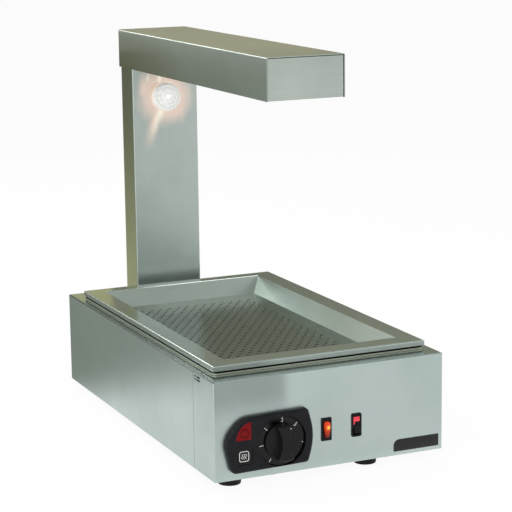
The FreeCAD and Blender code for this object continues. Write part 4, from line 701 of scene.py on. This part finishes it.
def makeLampGlass(shape):
    low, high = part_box("lamp_glass")
    centre = (low + high) / 2
    front = low.y + shape["setBack"] * mm
    place = (centre.x, (front + high.y) / 2, centre.z)
    piece = startDisc(place, shape["radius"] * mm, high.y - front, shape["sides"])
    pickFaces(piece, lambda at, normal: normal.y > 0.9)
    bpy.ops.mesh.inset(thickness=shape["collarGap"] * mm, depth=0)
    bpy.ops.mesh.inset(thickness=0.01 * mm, depth=-shape["collarDepth"] * mm)
    pickEdges(piece, lambda a, b: same(a.y, front) and same(b.y, front))
    bpy.ops.mesh.bevel(offset=shape["edge"] * mm, segments=4, affect="EDGES")
    pickFaces(piece, lambda at, normal: normal.y < -0.99 and same(at.y, front))
    for thickness, depth in shape["rings"]:
        bpy.ops.mesh.inset(thickness=thickness * mm, depth=depth * mm)
    softenEdges(piece, shape["ringEdge"], 2, 30)
    finishPiece(piece, "pressedLampGlass", "cabinet", pressedGlass, ["lamp_glass"], 60)


makeLampGlass(lampGlassShape)

# Coil of resistance wire inside the quartz tube
coilShape = {"radius": 3.6, "wire": 0.42, "wireSides": 6, "pitch": 2.6, "stepsPerTurn": 14, "endGap": 14.0}


def makeHeatCoil(shape):
    low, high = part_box("heat_tube")
    centre = (low + high) / 2
    pitch = shape["pitch"] * mm
    turns = int((high.y - low.y - 2 * shape["endGap"] * mm) / pitch)
    clearSelection()
    bpy.ops.mesh.primitive_circle_add(vertices=shape["wireSides"], radius=shape["wire"] * mm,
                                      location=(shape["radius"] * mm, 0, 0))
    applyPlace()
    piece = bpy.context.object
    wind = piece.modifiers.new("wind", "SCREW")
    wind.axis = "Y"
    wind.angle = 2 * math.pi
    wind.screw_offset = pitch
    wind.iterations = turns
    wind.steps = wind.render_steps = shape["stepsPerTurn"]
    wind.use_normal_calculate = True
    bpy.ops.object.modifier_apply(modifier=wind.name)
    piece.location = (centre.x, centre.y - turns * pitch / 2, centre.z)
    finishPiece(piece, "heatCoil", "cabinet", coilWire)


makeHeatCoil(coilShape)

# Pilot lamp: a domed amber lens with a round top, on a black plate that fills its frame
pilotShape = {
    "width": 9.0, "height": 22.6,
    "rise": 3.4, "sunk": 0.5,         # of the lens's front and back, from the frame's face
    "round": 0.96,                    # of its top, as a share of half the width
    "taper": 0.62,                    # its foot's width to its top's
    "taperFrom": 0.1, "taperOver": 0.6,    # shares of the height, above the middle and downwards
    "crown": [(0.7, 0.5), (1.1, 0.35)],    # insets and rises of its front
    "lensEdge": 0.35, "frameEdge": 0.5,
    "plate": 0.5, "plateDepth": 0.9, "plateMargin": 0.8, "plateEdge": 0.2,
}


def makePilot(shape):
    low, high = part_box("pilot_lens")
    centre = (low + high) / 2
    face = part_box("pilot_frame")[0].y
    surround = copyNode("pilot_frame")
    margin = shape["plateMargin"] * mm
    plate = startBlock((centre.x, face + shape["plateDepth"] * mm, centre.z),
                       (high.x - low.x + margin, shape["plate"] * mm, high.z - low.z + margin))
    softenEdges(surround, shape["frameEdge"])
    softenEdges(plate, shape["plateEdge"])
    finishPiece(joinPieces([surround, plate]), "pilotSurround", "cabinet", switchBlack,
                ["pilot_frame"])
    back, front = face + shape["sunk"] * mm, face - shape["rise"] * mm
    width, height = shape["width"] * mm, shape["height"] * mm
    lens = startBlock((centre.x, (back + front) / 2, centre.z), (width, back - front, height))
    top = centre.z + height / 2
    pickEdges(lens, lambda a, b: same(a.z, top) and same(b.z, top) and same(a.x, b.x))
    bpy.ops.mesh.bevel(offset=width / 2 * shape["round"], segments=10, affect="EDGES")
    clearSelection()
    for vertex in lens.data.vertices:
        drop = centre.z + shape["taperFrom"] * height - vertex.co.z
        share = min(max(drop / (shape["taperOver"] * height), 0), 1)
        vertex.co.x = centre.x + (vertex.co.x - centre.x) * (1 - (1 - shape["taper"]) * share)
    pickFaces(lens, lambda at, normal: normal.y < -0.9)
    for thickness, depth in shape["crown"]:
        bpy.ops.mesh.inset(thickness=thickness * mm, depth=depth * mm)
    softenEdges(lens, shape["lensEdge"], 3, 30)
    finishPiece(lens, "amberLens", "cabinet", amberLens, ["pilot_lens"], 60)


makePilot(pilotShape)

# Rocker's face: a red cap over its top with a tail down the left, and the black face that fills the rest
rockerCapShape = {
    "thickness": 1.5,
    "sunk": 0.2,                      # its middle, behind the CAD lens's front
    "brow": 2.2,                      # black above the cap
    "capHeight": 6.8,
    "tail": (2.3, 4.4),               # width and height
    "overlap": 0.4,
    "gap": 0.25,                      # between red and black
    "corner": 2.2,
    "edge": 0.35,
}


def makeRockerCap(shape):
    low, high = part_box("rocker_lens")
    thick, y, gap = shape["thickness"] * mm, low.y + shape["sunk"] * mm, shape["gap"] * mm
    tailWide, tailHigh = (size * mm for size in shape["tail"])
    overlap = shape["overlap"] * mm
    capHigh = high.z - shape["brow"] * mm
    capLow = capHigh - shape["capHeight"] * mm
    tailLow = capLow - tailHigh + overlap
    left, top = low.x + tailWide + gap, capLow - gap

    def slab(fromX, toX, fromZ, toZ):
        return startBlock(((fromX + toX) / 2, y, (fromZ + toZ) / 2), (toX - fromX, thick, toZ - fromZ))

    cap = slab(low.x, high.x, capLow, capHigh)
    tail = slab(low.x, low.x + tailWide, tailLow, capLow + overlap)
    for block in (cap, tail):
        softenEdges(block, shape["edge"])
    finishPiece(joinPieces([cap, tail]), "redRockerCap", "rocker", redLens, ["rocker_lens"])
    face = slab(left, high.x, low.z, top)
    pickEdges(face, lambda a, b: all(same(end.x, left) and same(end.z, top) for end in (a, b)))
    bpy.ops.mesh.bevel(offset=shape["corner"] * mm, segments=6, affect="EDGES")
    heel = slab(low.x, left + overlap, low.z, tailLow - gap)
    brow = slab(low.x, high.x, capHigh + gap, high.z)
    softenEdges(face, shape["edge"], angle=60)
    for block in (heel, brow):
        softenEdges(block, shape["edge"])
    finishPiece(joinPieces([face, heel, brow]), "rockerBlackFace", "rocker", switchBlack)


makeRockerCap(rockerCapShape)

# White print round the knob: plain numbers and short strokes on the dial ring
dialShape = {
    # angle from the top, number, length of the stroke
    "marks": [(-146, "", 5.6), (-97, "", 6.6), (-50, "1", 2.6), (3, "2", 2.2), (46, "3", 2.2), (100, "", 2.4),
              (146, "", 2.4)],
    "edgeRadius": 33.4, "strokeWidth": 1.0, "thickness": 0.12, "strokeEdge": 0.036,
    "numberSize": 7.0, "numberRadius": 28.7, "numberWeight": 0.08,
}


def addNumber(number, shape):
    clearSelection()
    bpy.ops.object.text_add()
    text = bpy.context.object
    text.data.body = number
    text.data.size = shape["numberSize"] * mm
    text.data.extrude = shape["thickness"] * mm
    text.data.offset = shape["numberWeight"] * mm
    text.data.resolution_u = 3
    text.data.align_x = "CENTER"
    text.data.align_y = "CENTER"
    bpy.ops.object.convert(target="MESH")
    return text


def makeDialPrint(shape):
    low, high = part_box("dial_skirt")
    middle = Vector(((low.x + high.x) / 2, low.y, (low.z + high.z) / 2))
    stroke = startBlock((0, 0, 0), (shape["strokeWidth"] * mm, 2 * shape["thickness"] * mm, 1 * mm))
    softenEdges(stroke, shape["strokeEdge"], 1)
    marks = []
    for turn, number, length in shape["marks"]:
        angle = math.radians(turn)
        out = Vector((math.sin(angle), 0, math.cos(angle)))
        mark = stroke.copy()
        mark.data = stroke.data.copy()
        scene.collection.objects.link(mark)
        only(mark)
        mark.scale = (1, 1, length)
        mark.rotation_euler = (0, angle, 0)
        mark.location = middle + out * (shape["edgeRadius"] - length / 2) * mm
        applyPlace()
        marks.append(mark)
        if number:
            text = addNumber(number, shape)
            text.rotation_euler = (math.radians(90), angle, 0)
            text.location = middle + out * shape["numberRadius"] * mm
            applyPlace()
            marks.append(text)
    bpy.data.objects.remove(stroke)
    finishPiece(joinPieces(marks), "dialPrint", "control_knob", printWhite)


makeDialPrint(dialShape)

# White pointer dot set into the end of the knob's grip
pointerShape = {"radius": 0.8, "depth": 0.5, "sunk": 0.1, "across": 6.0, "up": 21.0, "sides": 24, "edge": 0.1}


def makePointer(shape):
    low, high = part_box("control_knob")
    centre = (low + high) / 2
    place = (centre.x + shape["across"] * mm, low.y + shape["sunk"] * mm, centre.z + shape["up"] * mm)
    piece = startDisc(place, shape["radius"] * mm, shape["depth"] * mm, shape["sides"])
    softenEdges(piece, shape["edge"])
    finishPiece(piece, "pointerDot", "control_knob", printWhite)


makePointer(pointerShape)

# Index mark moulded on the panel above the dial
indexShape = {"width": 1.1, "height": 4.6, "depth": 0.7, "sunk": 0.1, "top": 1.2, "edge": 0.2}


def makeIndex(shape):
    low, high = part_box("dial_skirt")
    panelLow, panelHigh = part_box("control_bezel")
    top = panelHigh.z - shape["top"] * mm
    place = ((low.x + high.x) / 2, panelLow.y + shape["sunk"] * mm, top - shape["height"] / 2 * mm)
    piece = startBlock(place, [shape[side] * mm for side in ("width", "depth", "height")])
    softenEdges(piece, shape["edge"])
    finishPiece(piece, "dialIndex", "cabinet", dialBlack)


makeIndex(indexShape)

# Thin ring printed on the red window
ringShape = {"place": (-134.5, 78.6), "radius": 6.2, "line": 0.8, "thickness": 0.15, "sides": 48}


def makeWindowRing(shape):
    across, up = shape["place"]
    clearSelection()
    bpy.ops.mesh.primitive_circle_add(vertices=shape["sides"], radius=shape["radius"] * mm, fill_type="NGON",
                                      location=(across * mm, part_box("red_window")[0].y, up * mm),
                                      rotation=(math.radians(90), 0, 0))
    applyPlace()
    piece = bpy.context.object
    pickFaces(piece, lambda at, normal: True)
    bpy.ops.mesh.inset(thickness=shape["line"] * mm, depth=0)
    bpy.ops.mesh.delete(type="FACE")
    bpy.ops.mesh.select_all(action="SELECT")
    bpy.ops.mesh.extrude_region_move(TRANSFORM_OT_translate={"value": (0, -shape["thickness"] * mm, 0)})
    bpy.ops.object.mode_set(mode="OBJECT")
    finishPiece(piece, "windowRing", "cabinet", printDark)


makeWindowRing(ringShape)

# White heat sign on the tile: three rising waves in a rounded frame
signShape = {
    "frame": 14.6, "corner": 3.2, "line": 0.95, "thickness": 0.15,
    "waveHeight": 7.6, "waveLine": 0.9,    # the second as a share of the frame's line
    "waveSwing": 0.75, "waveTurns": 1.25, "waveApart": 2.9, "waveCuts": 15,
}


def makeHeatSign(shape):
    low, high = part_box("icon_tile")
    centre = (low + high) / 2
    thick, line, side = shape["thickness"] * mm, shape["line"] * mm, shape["frame"] * mm
    waveHeight = shape["waveHeight"] * mm
    y = low.y - thick / 2
    block = startBlock((centre.x, y, centre.z), (side, thick, side))
    pickEdges(block, lambda a, b: same(a.x, b.x) and same(a.z, b.z))
    bpy.ops.mesh.bevel(offset=shape["corner"] * mm, segments=6, affect="EDGES")
    pickFaces(block, lambda at, normal: abs(normal.y) > 0.9)
    bpy.ops.mesh.inset(thickness=line, depth=0)
    bpy.ops.mesh.bridge_edge_loops()
    marks = [block]
    for index in (-1, 0, 1):
        wave = startBlock((centre.x + index * shape["waveApart"] * mm, y, centre.z),
                          (shape["waveLine"] * line, thick, waveHeight))
        only(wave)
        bpy.ops.object.mode_set(mode="EDIT")
        bpy.ops.mesh.select_all(action="SELECT")
        bpy.ops.mesh.subdivide(number_cuts=shape["waveCuts"])
        bpy.ops.object.mode_set(mode="OBJECT")
        for vertex in wave.data.vertices:
            phase = (vertex.co.z - centre.z) / waveHeight * 2 * math.pi * shape["waveTurns"]
            vertex.co.x += shape["waveSwing"] * mm * math.sin(phase)
        marks.append(wave)
    finishPiece(joinPieces(marks), "heatSign", "cabinet", printWhite)


makeHeatSign(signShape)
print("control panel dressed")

# Studio: pale floor and background, soft lamps, and cards that only the polished and brushed surfaces reflect
studio = {
    "floorColour": "#F4F4F4",
    "whiteShare": 0.93,               # how much of the floor is plain white; the rest keeps the shadow
    "worldStrength": 0.55,
}
white = (1, 1, 1, 1)


# 1 where the camera, a reflection or a view through glass meets the background, 0 for its light
def addSeen(tree):
    ray = addNode(tree, "LightPath").outputs
    seen = addNode(tree, "Math", [ray["Is Camera Ray"], ray["Is Glossy Ray"]], "ADD", use_clamp=True)
    return addNode(tree, "Math", [seen, ray["Is Transmission Ray"]], "ADD", use_clamp=True)


def addPlane(name, place, turn, size, material):
    clearSelection()
    bpy.ops.mesh.primitive_plane_add(size=1)
    plane = bpy.context.object
    plane.name = name
    plane.location = place
    plane.rotation_euler = [math.radians(angle) for angle in turn]
    plane.scale = (*size, 1)
    plane.data.materials.append(material)
    return plane


def addFloor(settings):
    material, tree, shader = newMaterial("palePaperFloor")
    setInputs(tree, shader, {"Base Color": settings["floorColour"], "Roughness": 0.9})
    share = addNode(tree, "Math", [addSeen(tree), settings["whiteShare"]], "MULTIPLY")
    glow = addNode(tree, "Emission", {"Color": white, "Strength": 1.0})
    mix = addNode(tree, "MixShader", [share, shader, glow])
    setInputs(tree, tree.nodes["Material Output"], {"Surface": mix})
    addPlane("studioFloor", (0, 0, 0), (0, 0, 0), (40, 40), material)


def lightWorld(settings):
    world = bpy.data.worlds.new("studioWorld")
    scene.world = world
    world.use_nodes = True
    tree = world.node_tree
    light = tree.nodes["Background"]
    setInputs(tree, light, {"Color": white, "Strength": settings["worldStrength"]})
    backdrop = addNode(tree, "Background", {"Color": white, "Strength": 1.0})
    mix = addNode(tree, "MixShader", [addSeen(tree), light, backdrop])
    setInputs(tree, tree.nodes["World Output"], {"Surface": mix})


def addLamp(name, place, target, size, power):
    data = bpy.data.lights.new(name, "AREA")
    data.shape = "RECTANGLE"
    data.size, data.size_y = size
    data.energy = power
    lamp = bpy.data.objects.new(name, data)
    scene.collection.objects.link(lamp)
    lamp.location = place
    lamp.rotation_euler = (Vector(target) - Vector(place)).to_track_quat("-Z", "Y").to_euler()
    lamp.visible_camera = False


def showOnlyInReflections(card):
    card.visible_camera = False
    card.visible_diffuse = False
    card.visible_transmission = False
    card.visible_shadow = False


# A card glows from its low edge's colour to its high edge's, with the change between two heights of its own.
def addCard(name, place, turn, size, low, high, change=(-0.5, 0.5)):
    material, tree, _ = newMaterial(name + "Paint")
    axes = addNode(tree, "SeparateXYZ", [addNode(tree, "TexCoord").outputs["Object"]])
    rise = addNode(tree, "MapRange", {"Value": axes.outputs["Y"], "From Min": change[0], "From Max": change[1]},
                   interpolation_type=smooth)
    tone = addNode(tree, "Mix", {0: rise, 6: low, 7: high}, data_type="RGBA")
    glow = addNode(tree, "Emission", {"Color": tone, "Strength": 1.0})
    setInputs(tree, tree.nodes["Material Output"], {"Surface": glow})
    showOnlyInReflections(addPlane(name, place, turn, size, material))


addFloor(studio)
lightWorld(studio)
addLamp("softboxLeft", (-1.9, -1.6, 2.1), (0, 0, 0.2), (1.6, 1.6), 26)
addLamp("softboxRight", (2.2, -1.6, 1.2), (0, 0, 0.2), (1.0, 1.0), 12)
addLamp("softboxTop", (0.2, 0.3, 2.6), (0, 0, 0.1), (2.0, 2.0), 22)
# far behind, and low at the left: strips that light the long folds
addLamp("stripBehind", (-0.5, 2.3, 1.22), (0, 0, 0.4), (1.8, 0.45), 12)
addLamp("stripLeft", (-2.1, -0.55, 0.45), (0, 0.3, 0.35), (0.25, 1.0), 4)
# far behind and to the right: what the arm's top reflects
addCard("backCardRight", (1.2, 2.0, 0.9), (90, 0, 0), (3.2, 1.7), "#A09E88", "#CBC5A6", (-0.25, 0.35))
# close behind the cabinet: what the deck, the tray's rim and its floor reflect
addCard("backCardDeck", (0.42, 0.44, 0.285), (90, 0, 0), (1.26, 0.56), "#787A6C", "#929484")
# close behind the column's left: what the arm's and the column's left sides reflect
addCard("backCardArm", (-0.52, 0.78, 0.41), (90, 0, 0), (0.9, 0.2), "#7A8476", "#646C5E")
# below it and darker towards the top: what the column's left side reflects
addCard("backCardColumn", (-0.12, 0.4, 0.28), (90, 0, 0), (0.12, 0.5), "#CAC79C", "#6A684C")
# on the floor to the left: the cabinet's left side darkens towards the back
addCard("floorCardLeft", (-1.0, 0.95, 0.004), (0, 0, 0), (1.66, 2.1), "#FFFFFF", "#959A90", (-0.42, -0.28))
# before the front, above the camera: keeps the tray's rear wall grey
addCard("frontCardHigh", (1.1, -1.7, 1.65), (-60, 0, 0), (2.6, 1.9), "#5A635C", "#646D66")
# above the front: a grey flag that keeps the soft box out of the front folds
addCard("flagAbove", (0.25, -0.31, 0.62), (0, 0, 0), (0.56, 0.56), "#7E8A82", "#7E8A82")

# Close before the front: a net that dims the part above the control panel, with a sharp right edge
netShape = {
    "place": (0.01, -0.343, 0.088), "turn": (90, 0, 0), "size": (0.5, 0.16),
    "clearness": 0.9,                 # below the fade
    "columns": [(0.0, 0.62), (0.36, 0.58), (0.374, 1.0), (0.42, 1.0), (0.5, 0.94), (0.7, 0.9), (0.85, 0.95)],
    "fade": (-0.05, 0.2),
}


def addNet(shape):
    material, tree, _ = newMaterial("fineNet")
    axes = addNode(tree, "SeparateXYZ", [addNode(tree, "TexCoord").outputs["Object"]])
    across = addNode(tree, "Math", [axes.outputs["X"], 0.5], "ADD")
    ramp = addNode(tree, "ValToRGB", [across])
    fillRamp(ramp, shape["columns"])
    low, high = shape["fade"]
    rise = addNode(tree, "MapRange", {"Value": axes.outputs["Y"], "From Min": low, "From Max": high},
                   interpolation_type=smooth)
    dim = addNode(tree, "Mix", {0: rise, 6: (*[shape["clearness"]] * 3, 1), 7: ramp}, data_type="RGBA")
    clear = addNode(tree, "BsdfTransparent", {"Color": dim})
    setInputs(tree, tree.nodes["Material Output"], {"Surface": clear})
    showOnlyInReflections(addPlane("frontNet", shape["place"], shape["turn"], shape["size"], material))


addNet(netShape)
print("studio ready")
